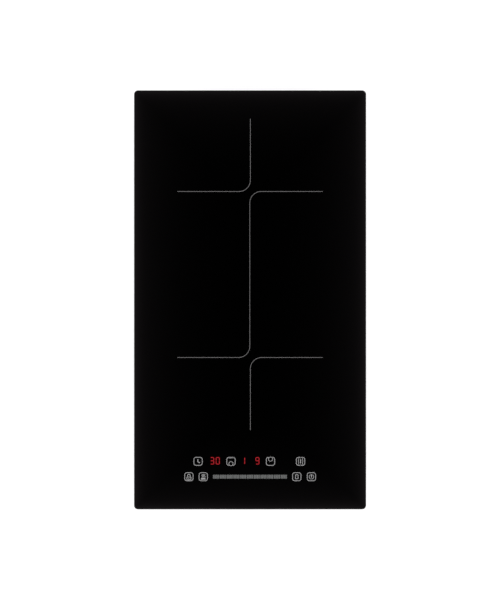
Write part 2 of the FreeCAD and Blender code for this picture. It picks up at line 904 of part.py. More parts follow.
def relay():
    x, y = board_x - 64, board_rear - 26
    case = block(x - 14.5, x + 14.5, y - 6.5, y + 6.5, board_top, board_top + 16)
    return case.makeFillet(0.8, upright_edges(case) + edges_at(case, board_top + 16))


def fuse():
    """A glass fuse in two spring clips."""
    x, y, z = board_x - 14, board_rear - 34, board_top + 5
    tube = rod(Vector(x, y - 10, z), Vector(0, 1, 0), 20, 2.6)
    clips = [block(x - 3.4, x + 3.4, y + s - 2, y + s + 2, board_top, z) for s in (-7, 7)]
    return join([tube] + clips)


def supply_transformer():
    x, y = -6, board_front + 46
    core = block(x - 13, x + 13, y - 10, y + 10, board_top + 2, board_top + 20)
    base = block(x - 11, x + 11, y - 12, y + 12, board_top, board_top + 2)
    bobbin = block(x - 8, x + 8, y - 12, y + 12, board_top + 5, board_top + 17)
    return join([core, base, bobbin])


def board_sockets():
    """Plastic plug sockets: the touch controls, the blower and the two heat sensors."""
    sockets = [block(ribbon_x - ribbon_wide / 2 - 2, ribbon_x + ribbon_wide / 2 + 2, ribbon_socket_y - 3,
                     ribbon_socket_y + 3, board_top, board_top + 7)]
    for x, y in ((10, board_rear - 8), (-8, board_rear - 54), (-8, board_rear - 68)):
        sockets.append(block(x - 5, x + 5, y - 3, y + 3, board_top, board_top + 7))
    return sockets


def coil_posts():
    posts = []
    for zone_y, facing in zones.values():
        for x, y in post_places(zone_y, facing):
            posts.append(disc(x, y, board_top, board_top + post_high, post_radius))
    return posts


# ---------------------------------------------------------------- blower


def scroll_arcs():
    """The three growing quarter turns of the scroll: centre, radius and angle of each middle."""
    radius = volute_start
    c1 = Vector(blower_x + volute_shift, blower_y + volute_shift, 0)
    c2 = c1 - Vector(volute_step, 0, 0)
    c3 = c2 - Vector(0, volute_step, 0)
    return [(c3, radius + 2 * volute_step, 135), (c2, radius + volute_step, 45), (c1, radius, -45)]


def blower_lug_places():
    """A lug on the floor outside the middle of each arc."""
    out = blower_lug_radius - 1.5
    places = [c + direction(angle) * (radius + out) for c, radius, angle in scroll_arcs()]
    return [(p.x, p.y) for p in places]


def scroll(inset, reach):
    """The blower's scroll in plan, taken in by inset, with its outlet at reach towards -Y."""
    arcs = []
    ends = []
    for centre, radius, middle in scroll_arcs():
        points = [centre + direction(middle + turn) * (radius - inset) for turn in (45, 0, -45)]
        arcs.append(Part.Arc(*points).toShape())
        ends += [points[0], points[-1]]
    tongue = blower_x - tongue_x - inset
    out = blower_y - reach
    first, last = ends[0], ends[-1]
    corners_3d = [last, Vector(tongue, last.y, 0), Vector(tongue, out, 0), Vector(first.x, out, 0), first]
    lines = [Part.makeLine(a, b) for a, b in zip(corners_3d, corners_3d[1:])]
    return Part.Face(Part.Wire(arcs + lines))


def raised(face, z0, z1):
    solid = face.extrude(Vector(0, 0, z1 - z0))
    solid.translate(Vector(0, 0, z0))
    return solid


def blower_base():
    top = blower_top - blower_wall
    floor = raised(scroll(0, blower_reach), sheet, sheet + blower_wall)
    wall = raised(scroll(0, blower_reach), sheet + blower_wall, top)
    wall = wall.cut(raised(scroll(blower_wall, blower_reach + 1), sheet + blower_wall, top))
    lugs = [disc(x, y, sheet, sheet + blower_lug_high, blower_lug_radius) for x, y in blower_lug_places()]
    inside = raised(scroll(blower_wall, blower_reach + 1), sheet + blower_wall, top)
    base = join([floor, wall] + lugs).cut(inside)
    base = base.cut(disc(blower_x, blower_y, sheet, sheet + blower_wall, inlet_radius))
    holes = [disc(x, y, sheet, sheet + blower_lug_high, m3_shank + fit_gap) for x, y in blower_lug_places()]
    return base.cut(Part.makeCompound(holes)).removeSplitter()


def blower_cover():
    return raised(scroll(0, blower_reach), blower_top - blower_wall, blower_top)


cup_low = sheet + impeller_gap
cup_top = cup_low + impeller_high
magnet_outer = hub_cup - cup_wall
stator_radius = magnet_outer - magnet_thick - air_gap
stator_low = cup_low + cup_wall + 1.5


def blade_face():
    """One forward-curved blade, from the eye to the rim."""
    step = 2 * pi / blade_count * blade_share
    sweep = radians(blade_sweep)

    def at(radius, angle):
        return Vector(radius * cos(angle), radius * sin(angle), 0)

    middle = (impeller_eye + impeller_radius) / 2
    front = [at(impeller_eye, 0), at(middle, sweep * 0.3), at(impeller_radius - 0.3, sweep)]
    back = [at(impeller_radius - 0.3, sweep + step * 0.7), at(middle, sweep * 0.3 + step)]
    back.append(at(impeller_eye, step))
    edges = [Part.Arc(*front).toShape(), Part.makeLine(front[2], back[0]), Part.Arc(*back).toShape(),
             Part.makeLine(back[2], front[0])]
    return Part.Face(Part.Wire(edges))


def impeller():
    disc_low = cup_top - impeller_disc
    cup = disc(0, 0, cup_low, cup_top, hub_cup).cut(disc(0, 0, cup_low + cup_wall, cup_top, magnet_outer))
    disc_ring = ring(0, 0, disc_low, cup_top, impeller_radius, hub_cup)
    shroud = ring(0, 0, cup_low, cup_low + impeller_disc, impeller_radius, impeller_radius - 4)
    blade = raised(blade_face(), cup_low + impeller_disc / 2, disc_low + impeller_disc / 2)
    blades = []
    for i in range(blade_count):
        copy = blade.copy()
        copy.rotate(Vector(0, 0, 0), UP, i * 360 / blade_count)
        blades.append(copy)
    rotor = join([cup, disc_ring, shroud] + blades)
    rotor.translate(Vector(blower_x, blower_y, 0))
    return rotor


def rotor_magnet():
    inner = magnet_outer - magnet_thick
    return ring(blower_x, blower_y, cup_low + cup_wall, cup_top - 1, magnet_outer, inner)


def rotor_shaft():
    return disc(blower_x, blower_y, cup_low + cup_wall, blower_top - blower_wall - 0.5, shaft_radius)


def blower_stator():
    """Six wound poles about the bearing tube, hung from the cover."""
    top = blower_top - blower_wall
    tube = disc(0, 0, stator_low, top, bearing_radius)
    foot = disc(0, 0, top - 1, top, stator_radius - 1)
    poles = []
    for i in range(6):
        arm = block(bearing_radius - 1, stator_radius - 1, -1.6, 1.6, stator_low + 2, top - 4)
        shoe = ring(0, 0, stator_low + 1, top - 3, stator_radius, stator_radius - 1.4)
        wedge = prism([(0, 0), (stator_radius * 1.2, -stator_radius * 0.5),
                       (stator_radius * 1.2, stator_radius * 0.5)], stator_low, top)
        pole = arm.fuse(shoe.common(wedge))
        pole.rotate(Vector(0, 0, 0), UP, 60 * i)
        poles.append(pole)
    stator = join([tube, foot] + poles)
    stator = stator.cut(disc(0, 0, stator_low, top, shaft_radius + shaft_gap))
    stator.translate(Vector(blower_x, blower_y, 0))
    return stator


# ---------------------------------------------------------------- mains connection


def mains_lug_places():
    y = mains_front + mains_long / 2
    out = mains_flange / 2 + 4
    return [(mains_left - out, y), (mains_right + out, y)]


def pole_places():
    pitch = block_wide / pole_count
    return [mains_x - block_wide / 2 + (i + 0.5) * pitch for i in range(pole_count)]


def terminal_box():
    """A box open at the bottom, standing on the tray's floor round the opening."""
    outer = block(mains_left, mains_right, mains_front, mains_rear, sheet, mains_high)
    outer = outer.makeFillet(1.5, [e for e in upright_edges(outer) if e.CenterOfMass.y < mains_rear - 1])
    flange_low = block(mains_left - mains_flange, mains_right + mains_flange, mains_front - mains_flange,
                       mains_rear, sheet, sheet + mains_wall)
    lugs = [disc(x, y, sheet, sheet + mains_wall, mains_flange + 1) for x, y in mains_lug_places()]
    body = join([outer, flange_low] + lugs)
    low_rear = [e for e in edges_at(body, sheet) if abs(e.BoundBox.YMin - mains_rear) < 1e-6]
    body = body.makeChamfer(tray_bend - sheet, low_rear)
    wall = mains_wall
    room = block(mains_left + wall, mains_right - wall, mains_front + wall, mains_rear - wall,
                 sheet, mains_high - wall)
    body = body.cut(room)
    tools = [disc(x, y, sheet, sheet + wall, m3_shank + fit_gap) for x, y in mains_lug_places()]
    tools.append(rod(Vector(mains_x, mains_rear - wall, gland_level), Vector(0, 1, 0), wall, gland_body))
    for x in wire_places():
        tools.append(rod(Vector(x, mains_front, wire_level), Vector(0, 1, 0), wall, mains_wire + fit_gap))
    body = body.cut(Part.makeCompound(tools))
    for side, x in ((1, mains_left + wall), (-1, mains_right - wall)):
        x0, x1 = sorted((x, x + side * lug_thick))
        axis_start = Vector(x0, hinge_y, hinge_z)
        lug = rod(axis_start, Vector(1, 0, 0), lug_thick, hinge_barrel)
        lug = lug.fuse(block(x0, x1, mains_front + wall, hinge_y + hinge_barrel, hinge_z, hinge_z + 5))
        lug = lug.cut(rod(axis_start, Vector(1, 0, 0), lug_thick, hinge_pin + hinge_gap))
        body = body.fuse(lug)
    return body.removeSplitter()


def terminal_cover():
    """The lid in the tray's floor, with its hinge barrel, stub pins and two snap tabs."""
    wall = mains_wall
    wide_0, wide_1 = mains_left + wall + cover_gap, mains_right - wall - cover_gap
    slim_0, slim_1 = mains_left + wall + lug_thick + lug_gap, mains_right - wall - lug_thick - lug_gap
    far = mains_rear - wall - 0.6
    clear = hinge_barrel + 1.3
    lid = block(wide_0, wide_1, hinge_y + clear, far, cover_lift, cover_lift + cover_thick)
    neck = block(slim_0, slim_1, hinge_y, hinge_y + clear, cover_lift, cover_lift + cover_thick)
    barrel = rod(Vector(slim_0, hinge_y, hinge_z), Vector(1, 0, 0), slim_1 - slim_0, hinge_barrel)
    pin_long = hinge_pin_long + lug_gap
    pins = [rod(Vector(slim_0 - pin_long, hinge_y, hinge_z), Vector(1, 0, 0), pin_long, hinge_pin),
            rod(Vector(slim_1, hinge_y, hinge_z), Vector(1, 0, 0), pin_long, hinge_pin)]
    top = cover_lift + cover_thick
    tabs = []
    ribs = []
    for side in (-1, 1):
        tab_x, rib_x = mains_x + side * 20, mains_x + side * 9
        tabs.append(block(tab_x - 4, tab_x + 4, far - 2.2, far - 0.6, top, top + 5))
        ribs.append(block(rib_x - 0.6, rib_x + 0.6, hinge_y + clear + 2, far - 8, top, top + 1.5))
    return join([lid, neck, barrel] + pins + tabs + ribs)


def terminal_block():
    """A row of poles under the box's roof, each with a wire hole on both sides."""
    x0, x1 = mains_x - block_wide / 2, mains_x + block_wide / 2
    top = mains_high - mains_wall
    body = block(x0, x1, block_front, block_front + block_long, block_low, top)
    pitch = block_wide / pole_count
    rear = block_front + block_long
    grooves = []
    for i in range(1, pole_count):
        x = x0 + i * pitch
        grooves.append(block(x - 0.6, x + 0.6, block_front, rear, block_low, block_low + 3))
    for x in pole_places():
        grooves.append(rod(Vector(x, rear - 5, wire_level), Vector(0, 1, 0), 5, 2.2))
    deep = block_low + pole_screw_long
    grooves += [disc(x, y, block_low, deep, pole_screw) for x, y in pole_screw_places()]
    return body.cut(Part.makeCompound(grooves))


def pole_screw_places():
    return [(x, block_front + y) for x in pole_places() for y in (4.5, block_long - 4.5)]


def terminal_screws():
    """Two rows of brass screws in the terminal block, heads down."""
    return [screw(Vector(x, y, block_low), UP, pole_screw, pole_screw_long, 2.2, 1.4)
            for x, y in pole_screw_places()]


def cable_gland():
    """The bush that the supply cable comes in through."""
    along = Vector(0, 1, 0)
    start = mains_rear - mains_wall - gland_nut_thick - gland_tail
    body = rod(Vector(mains_x, start, gland_level), along, tray_y - start, gland_body)
    nut = rod(Vector(mains_x, start + gland_tail, gland_level), along, gland_nut_thick, gland_nut)
    flange = rod(Vector(mains_x, tray_y, gland_level), along, gland_flange_thick, gland_flange)
    solid = join([body, nut, flange])
    length = tray_y + gland_flange_thick - start
    return solid.cut(rod(Vector(mains_x, start, gland_level), along, length, gland_bore))


def wire_places():
    """The three poles that are wired to the power board."""
    return pole_places()[1:4]


def mains_wires():
    """Live, neutral and earth from the terminal block to their tabs on the power board."""
    wires = []
    foot = board_top + post_high
    for i, x in enumerate(wire_places()):
        end_x = board_x - 30 - 11 * (2 - i)
        end_y = board_rear - 8
        points = [
            Vector(x, block_front, wire_level),
            Vector(x, mains_front - 18 - 5 * i, wire_level),
            Vector(end_x, end_y + 26, wire_level - 2),
            Vector(end_x, end_y, wire_level - 1),
            Vector(end_x, end_y, foot),
        ]
        wires.append(wire_through(points, mains_wire, 6 * mains_wire))
    return wires


def mains_posts():
    return [disc(board_x - 30 - 11 * (2 - i), board_rear - 8, board_top, board_top + post_high, 2.6)
            for i in range(3)]


# ---------------------------------------------------------------- touch controls


def touch_screw_places():
    x = touch_wide / 2 - touch_board_inset - 4
    return [(sx * x, touch_y + touch_long / 2 - touch_board_inset - 4) for sx in (-1, 1)]


def touch_holder():
    """A shallow plastic frame on the plate, which carries the touch board."""
    x0, x1 = -touch_wide / 2, touch_wide / 2
    y0, y1 = touch_y - touch_long / 2, touch_y + touch_long / 2
    frame = rounded_block(x0, x1, y0, y1, plate_top, touch_board_top, 2)
    wall = touch_wall
    frame = frame.cut(block(x0 + wall + 1, x1 - wall - 1, y0 + wall + 1, y1 - wall - 1, plate_top,
                            touch_board_low))
    frame = frame.cut(block(x0 + wall, x1 - wall, y0 + wall, y1 - wall, touch_board_low, touch_board_top))
    ribs = [block(x - 0.8, x + 0.8, y0 + wall, y1 - wall, plate_top, touch_board_low)
            for x in (-touch_wide / 4, touch_wide / 4)]
    bosses = [disc(x, y, plate_top, touch_board_low, 4) for x, y in touch_screw_places()]
    frame = join([frame] + ribs + bosses)
    tools = [disc(x, y, plate_top, touch_board_low, m3_shank + fit_gap) for x, y in touch_screw_places()]
    half = ribbon_wide / 2 + 1
    way_out = block(ribbon_x - half, ribbon_x + half, y1 - wall - 1, y1,
                    touch_board_low - 1, touch_board_top)
    tools.append(way_out)
    return frame.cut(Part.makeCompound(tools))


def touch_board():
    gap = touch_wall + fit_gap
    board = block(-touch_wide / 2 + gap, touch_wide / 2 - gap, touch_y - touch_long / 2 + gap,
                  touch_y + touch_long / 2 - gap, touch_board_low, touch_board_top)
    hole = m3_shank + fit_gap
    holes = [disc(x, y, touch_board_low, touch_board_top, hole) for x, y in touch_screw_places()]
    return board.cut(Part.makeCompound(holes))


def touch_pads():
    """Conductive foam posts between the board and the glass, under each key and the slider."""
    places = [(x, rear_row_y) for x in rear_keys] + [(x, front_row_y) for x in front_keys]
    pitch = (slider_right - slider_left) / slider_pads
    places += [(slider_left + (i + 0.5) * pitch, front_row_y) for i in range(slider_pads)]
    return [disc(x, y, touch_board_top, glass_low, pad_radius) for x, y in places]


def digit_displays():
    """Seven-segment modules: a pair for the timer and one for each zone."""
    half = digit_wide / 2
    top = glass_low - digit_drop
    timer = block(digit_places[0] - half, digit_places[1] + half, rear_row_y - digit_long / 2,
                  rear_row_y + digit_long / 2, touch_board_top, top)
    singles = [block(x - half, x + half, rear_row_y - digit_long / 2, rear_row_y + digit_long / 2,
                     touch_board_top, top) for x in digit_places[2:]]
    return [timer] + singles


def touch_ribbon():
    """The flat cable from the touch board, down through the plate, to the power board."""
    half = ribbon_wide / 2
    high = touch_board_low + (touch_board_top - touch_board_low) / 2
    start_y = touch_y + touch_long / 2 - touch_wall - fit_gap
    low = board_top + 7
    centre = [(start_y, high), (ribbon_y, high), (ribbon_y, low + 6), (ribbon_socket_y, low + 6),
              (ribbon_socket_y, low)]
    points = [Vector(ribbon_x - half, y, z) for y, z in centre]
    thick = ribbon_thick / 2
    strip = []
    for a, b in zip(points, points[1:]):
        y0, y1 = sorted((a.y, b.y))
        z0, z1 = sorted((a.z, b.z))
        strip.append((y0 - thick * (a.y == b.y), y1 + thick * (a.y == b.y), z0 - thick * (a.z == b.z),
                      z1 + thick * (a.z == b.z)))
    solids = [block(-half, half, y0, y1, z0, z1) for y0, y1, z0, z1 in strip]
    corner_blocks = [block(-half, half, p.y - thick, p.y + thick, p.z - thick, p.z + thick)
                     for p in points[1:-1]]
    return join(solids + corner_blocks)


# ---------------------------------------------------------------- everything


def build():
    os.makedirs("parts", exist_ok=True)
    save("glass_top", glass_top())
    save("worktop_seal", worktop_seal())
    save("bond_bead", bond_bead())
    save("upper_frame", *upper_frame())
    save("frame_screws", *frame_screws())
    save("bottom_tray", *bottom_tray())
    save("clamp_nuts", *[clamp_nut(*signs) for signs in corners.values()])
    save("clamp_screws", *[clamp_screw(*signs) for signs in corners.values()])
    for corner, signs in corners.items():
        save(f"clamp_{corner}", clamp(*signs))
    for name, (zone_y, facing) in zones.items():
        save(f"{name}_coil_carrier", coil_carrier(zone_y, facing))
        save(f"{name}_coil_winding", coil_winding(zone_y))
        save(f"{name}_ferrites", *ferrites(zone_y))
        save(f"{name}_mica", coil_mica(zone_y))
        save(f"{name}_heat_sensor", heat_sensor(zone_y))
        save(f"{name}_coil_springs", *[coil_spring(x, y) for x, y in ear_places(zone_y, facing)])
        save(f"{name}_coil_leads", *coil_leads(zone_y, facing))
    save("guide_screws", *[guide_screw(x, y) for zone in zones.values() for x, y in ear_places(*zone)])
    save("coil_plate", coil_plate())
    save("plate_pillars", *[plate_pillar(x, y) for x, y in pillar_places()])
    save("m3_screws", *m3_screws())
    save("power_board", power_board())
    save("board_spacers", *board_spacers())
    save("heat_sink", heat_sink())
    save("power_transistors", *power_transistors())
    save("film_capacitors", *film_capacitors())
    save("smoothing_capacitors", *smoothing_capacitors())
    save("choke_core", choke_core())
    save("choke_winding", *choke_winding())
    save("relay", relay())
    save("fuse", fuse())
    save("supply_transformer", supply_transformer())
    save("board_sockets", *board_sockets())
    save("board_posts", *(coil_posts() + mains_posts()))
    save("blower_base", blower_base())
    save("blower_cover", blower_cover())
    save("blower_stator", blower_stator())
    save("impeller", impeller())
    save("rotor_magnet", rotor_magnet())
    save("rotor_shaft", rotor_shaft())
    save("terminal_box", terminal_box())
    save("terminal_cover", terminal_cover())
    save("terminal_block", terminal_block())
    save("terminal_screws", *terminal_screws())
    save("cable_gland", cable_gland())
    save("mains_wires", *mains_wires())
    save("touch_holder", touch_holder())
    save("touch_board", touch_board())
    save("touch_pads", *touch_pads())
    save("digit_displays", *digit_displays())
    save("touch_ribbon", touch_ribbon())


build()
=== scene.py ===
from math import acos, atan2, cos, degrees, hypot, pi, radians, sin

import bmesh
import bpy
from mathutils import Matrix, Vector


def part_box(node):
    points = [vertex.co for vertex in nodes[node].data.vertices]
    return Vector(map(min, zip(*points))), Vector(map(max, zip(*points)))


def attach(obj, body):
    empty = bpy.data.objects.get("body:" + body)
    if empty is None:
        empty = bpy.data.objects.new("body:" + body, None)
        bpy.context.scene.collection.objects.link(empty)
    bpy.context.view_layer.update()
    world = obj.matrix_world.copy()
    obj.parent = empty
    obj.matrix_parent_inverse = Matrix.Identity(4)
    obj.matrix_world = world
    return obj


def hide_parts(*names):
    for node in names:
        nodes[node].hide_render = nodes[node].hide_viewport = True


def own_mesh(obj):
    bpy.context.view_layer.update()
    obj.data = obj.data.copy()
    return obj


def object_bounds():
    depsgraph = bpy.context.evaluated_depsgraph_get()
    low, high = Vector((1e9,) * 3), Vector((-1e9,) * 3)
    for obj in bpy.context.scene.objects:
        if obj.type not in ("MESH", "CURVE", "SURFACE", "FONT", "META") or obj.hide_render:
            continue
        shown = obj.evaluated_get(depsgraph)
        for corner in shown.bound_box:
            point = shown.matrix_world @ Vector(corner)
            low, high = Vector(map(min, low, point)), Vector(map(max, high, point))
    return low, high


# Looks of a built-in induction hob: glass with its printed lines, touch keys and red digits, over a
# galvanised tray with springs, coils and electronics. Lengths are in metres unless a name says mm.

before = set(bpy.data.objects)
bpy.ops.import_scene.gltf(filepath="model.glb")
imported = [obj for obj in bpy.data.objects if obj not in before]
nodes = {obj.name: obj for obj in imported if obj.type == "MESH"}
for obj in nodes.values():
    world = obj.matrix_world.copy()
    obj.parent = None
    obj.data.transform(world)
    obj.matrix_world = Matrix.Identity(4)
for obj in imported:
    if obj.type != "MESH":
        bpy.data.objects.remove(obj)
cad_low, cad_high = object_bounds()

MM = 0.001

# ---------------------------------------------------------------- places, from the frame

glass_low, glass_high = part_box("glass_top")
glass_half_x = glass_high.x
glass_half_y = glass_high.y
glass_face = glass_high.z


def middle(node):
    low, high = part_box(node)
    return (low + high) / 2


rear_zone = middle("rear_mica")
front_zone = middle("front_mica")
digit_row_y = middle("digit_displays").y
slider_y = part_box("touch_pads")[0].y + 3.6 * MM
rear_row_y = digit_row_y - 0.35 * MM
front_row_y = slider_y + 0.45 * MM

# ---------------------------------------------------------------- printed marks, in mm

PRINT_HIGH = 0.02 * MM  # a print's top above the glass
PRINT_DEEP = 0.02 * MM  # and how far it is sunk into the glass
LINE_WIDE = 0.57
LINE_BEND = 14.0
ZONE_REACH = 90.2
LINE_SHIFT = 0.35  # between the two uprights that meet in a zone
KEY_HALF_X = 5.2
KEY_HALF_Y = 5.0
KEY_BEND = 2.7
KEY_LINE = 0.76
GLYPH_LINE = 0.62
SLIDER_LEFT = -46.2
SLIDER_RIGHT = 46.1
SLIDER_GROUPS = 11
SLIDER_TICKS = 4
SLIDER_HIGH = 4.7
GROUP_GAP = 0.5
TICK_GAP = 0.25
DIGIT_WIDE = 4.0
DIGIT_HIGH = 8.1
SEGMENT = 0.9
GLOW = 2.2  # how wide the red light spreads round a segment

REAR_ROW = {"clock": -64.5, "front_zone": -23.7, "rear_zone": 25.3, "bridge": 62.6}
FRONT_ROW = {"lock": -75.9, "keep_warm": -58.1, "boost": 57.9, "power": 76.1}
DIGITS = {
    "timer_digits": ((-47.0, "3"), (-40.1, "0")),
    "front_digit": ((-8.7, "1"),),
    "rear_digit": ((9.1, "9"),),
}

# ---------------------------------------------------------------- flat and round meshes


def arc(centre, radius, first, last, steps=12):
    """Points on an arc from angle first to last, in degrees."""
    turns = [radians(first + (last - first) * i / steps) for i in range(steps + 1)]
    return [(centre[0] + radius * cos(t), centre[1] + radius * sin(t)) for t in turns]


def rounded_square(half_x, half_y, bend, gap_side=None, gap_half=0.0):
    """A closed rounded outline, or one left open in the middle of its top or bottom side."""
    x, y = half_x - bend, half_y - bend
    points = []
    for turn, sx, sy in ((0, 1, 1), (90, -1, 1), (180, -1, -1), (270, 1, -1)):
        points += arc((sx * x, sy * y), bend, turn, turn + 90, 5)
    if gap_side is None:
        return points + points[:1]
    start = 6 if gap_side == "top" else 18
    points = points[start:] + points[:start]
    edge = half_y if gap_side == "top" else -half_y
    side = -1 if gap_side == "top" else 1
    return [(side * gap_half, edge)] + points + [(-side * gap_half, edge)]


def add_ribbon(mesh, points, width, low, high):
    """A flat strip of constant width along points, as a closed thin solid."""
    closed = hypot(points[0][0] - points[-1][0], points[0][1] - points[-1][1]) < 1e-9
    path = [Vector(p) for p in (points[:-1] if closed else points)]
    count = len(path)
    rows = []
    for i, point in enumerate(path):
        before = path[i - 1] if closed or i > 0 else None
        after = path[(i + 1) % count] if closed or i < count - 1 else None
        pairs = ((before, point), (point, after))
        ways = [(b - a).normalized() for a, b in pairs if a is not None and b is not None]
        way = sum(ways, Vector((0, 0))).normalized()
        out = Vector((-way.y, way.x))
        stretch = 1 / max(0.4, way.dot(ways[0]))
        rows.append([point + out * (side * width / 2 * stretch) for side in (-1, 1)])
    rings = []
    for left, right in rows:
        corners = ((left, low), (right, low), (right, high), (left, high))
        rings.append([mesh.verts.new((p.x, p.y, z)) for p, z in corners])
    pairs = list(zip(rings, rings[1:])) + ([(rings[-1], rings[0])] if closed else [])
    for a, b in pairs:
        for i in range(4):
            j = (i + 1) % 4
            mesh.faces.new((a[i], a[j], b[j], b[i]))
    if not closed:
        mesh.faces.new(rings[0][::-1])
        mesh.faces.new(rings[-1])


def add_slab(mesh, outline, low, high):
    """A flat plate with the given outline."""
    bottom = [mesh.verts.new((x, y, low)) for x, y in outline]
    top = [mesh.verts.new((x, y, high)) for x, y in outline]
    mesh.faces.new(bottom[::-1])
    mesh.faces.new(top)
    count = len(outline)
    for i in range(count):
        j = (i + 1) % count
        mesh.faces.new((bottom[i], bottom[j], top[j], top[i]))


def add_tube(mesh, path, radius, sides=10):
    """A round tube with closed ends along 3-D points."""
    rings = []
    out = None
    for i, point in enumerate(path):
        way = (path[min(i + 1, len(path) - 1)] - path[max(i - 1, 0)]).normalized()
        if out is None:
            out = way.orthogonal()
        out = (out - way * out.dot(way)).normalized()
        across = way.cross(out)
        turns = [2 * pi * k / sides for k in range(sides)]
        rings.append([mesh.verts.new(point + (out * cos(t) + across * sin(t)) * radius) for t in turns])
    for a, b in zip(rings, rings[1:]):
        for k in range(sides):
            j = (k + 1) % sides
            mesh.faces.new((a[k], a[j], b[j], b[k]))
    mesh.faces.new(rings[0][::-1])
    mesh.faces.new(rings[-1])


def finished(name, mesh, material, body, smooth=False):
    """Turns a bmesh in the row frame into a piece that rides on a body."""
    bmesh.ops.recalc_face_normals(mesh, faces=mesh.faces)
    data = bpy.data.meshes.new(name)
    mesh.to_mesh(data)
    mesh.free()
    data.materials.append(material)
    for face in data.polygons:
        face.use_smooth = smooth
    piece = bpy.data.objects.new(name, data)
    bpy.context.scene.collection.objects.link(piece)
    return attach(piece, body)


# ---------------------------------------------------------------- materials


class Paint:
    """A node material in the making. Its pattern coordinates are the row frame, in millimetres."""

    def __init__(self, name, color, rough, metal=0.0, **sockets):
        self.material = bpy.data.materials.new(name)
        self.material.use_nodes = True
        self.tree = self.material.node_tree
        self.shader = self.tree.nodes["Principled BSDF"]
        self.set("Base Color", (*color, 1.0))
        self.set("Roughness", rough)
        self.set("Metallic", metal)
        for socket, value in sockets.items():
            self.set(socket.replace("_", " "), value)
        self.place = self.add("ShaderNodeTexCoord").outputs["Object"]

    def add(self, kind, **fields):
        node = self.tree.nodes.new(kind)
        for field, value in fields.items():
            setattr(node, field, value)
        return node

    def set(self, socket, value):
        self.shader.inputs[socket].default_value = value

    def link(self, output, target):
        self.tree.links.new(output, target)

    def stretched(self, scale):
        """The place in mm, stretched by 1/scale along each axis."""
        node = self.add("ShaderNodeMapping")
        node.inputs["Scale"].default_value = [s / MM for s in scale]
        self.link(self.place, node.inputs["Vector"])
        return node.outputs["Vector"]

    def noise(self, size, detail=3.0, stretch=(1, 1, 1)):
        """Noise whose blotches are about size mm."""
        node = self.add("ShaderNodeTexNoise")
        node.inputs["Scale"].default_value = 1.0
        node.inputs["Detail"].default_value = detail
        self.link(self.stretched([1 / (size * s) for s in stretch]), node.inputs["Vector"])
        return node.outputs["Fac"]

    def cells(self, size, output="Color", feature="F1"):
        """Voronoi cells about size mm across."""
        node = self.add("ShaderNodeTexVoronoi", feature=feature)
        node.inputs["Scale"].default_value = 1.0
        self.link(self.stretched([1 / size] * 3), node.inputs["Vector"])
        return node.outputs[output]

    def wave(self, period, axis, distort=0.0, kind="BANDS"):
        """Bands or rings that repeat every period mm."""
        node = self.add("ShaderNodeTexWave", wave_type=kind)
        if kind == "BANDS":
            node.bands_direction = axis
        else:
            node.rings_direction = axis
        node.inputs["Scale"].default_value = 1.0
        node.inputs["Distortion"].default_value = distort
        self.link(self.stretched([0.314 / period] * 3), node.inputs["Vector"])
        return node.outputs["Fac"]

    def axis(self, name):
        """One coordinate of the place, in metres."""
        node = self.add("ShaderNodeSeparateXYZ")
        self.link(self.place, node.inputs["Vector"])
        return node.outputs[name]

    def math(self, operation, *values):
        node = self.add("ShaderNodeMath", operation=operation)
        for socket, value in zip(node.inputs, values):
            if isinstance(value, (int, float)):
                socket.default_value = value
            else:
                self.link(value, socket)
        return node.outputs["Value"]

    def between(self, fac, low, high):
        """Fac stretched from 0..1 to low..high."""
        node = self.add("ShaderNodeMapRange")
        node.inputs["To Min"].default_value = low
        node.inputs["To Max"].default_value = high
        self.link(fac, node.inputs["Value"])
        return node.outputs["Result"]

    def colors(self, fac, *stops):
        """A colour ramp of (position, colour) stops."""
        node = self.add("ShaderNodeValToRGB")
        ramp = node.color_ramp
        while len(ramp.elements) < len(stops):
            ramp.elements.new(0.5)
        for element, (position, color) in zip(ramp.elements, stops):
            element.position = position
            element.color = (*color, 1.0)
        self.link(fac, node.inputs["Fac"])
        return node.outputs["Color"]

    def paint(self, fac, *stops):
        self.link(self.colors(fac, *stops), self.shader.inputs["Base Color"])

    def roughen(self, fac, low, high):
        self.link(self.between(fac, low, high), self.shader.inputs["Roughness"])

    def bump(self, height, depth_mm, strength=1.0):
        node = self.add("ShaderNodeBump")
        node.inputs["Strength"].default_value = strength
        node.inputs["Distance"].default_value = depth_mm * MM
        self.link(height, node.inputs["Height"])
        self.link(node.outputs["Normal"], self.shader.inputs["Normal"])


def shade(color, factor):
    return tuple(c * factor for c in color)


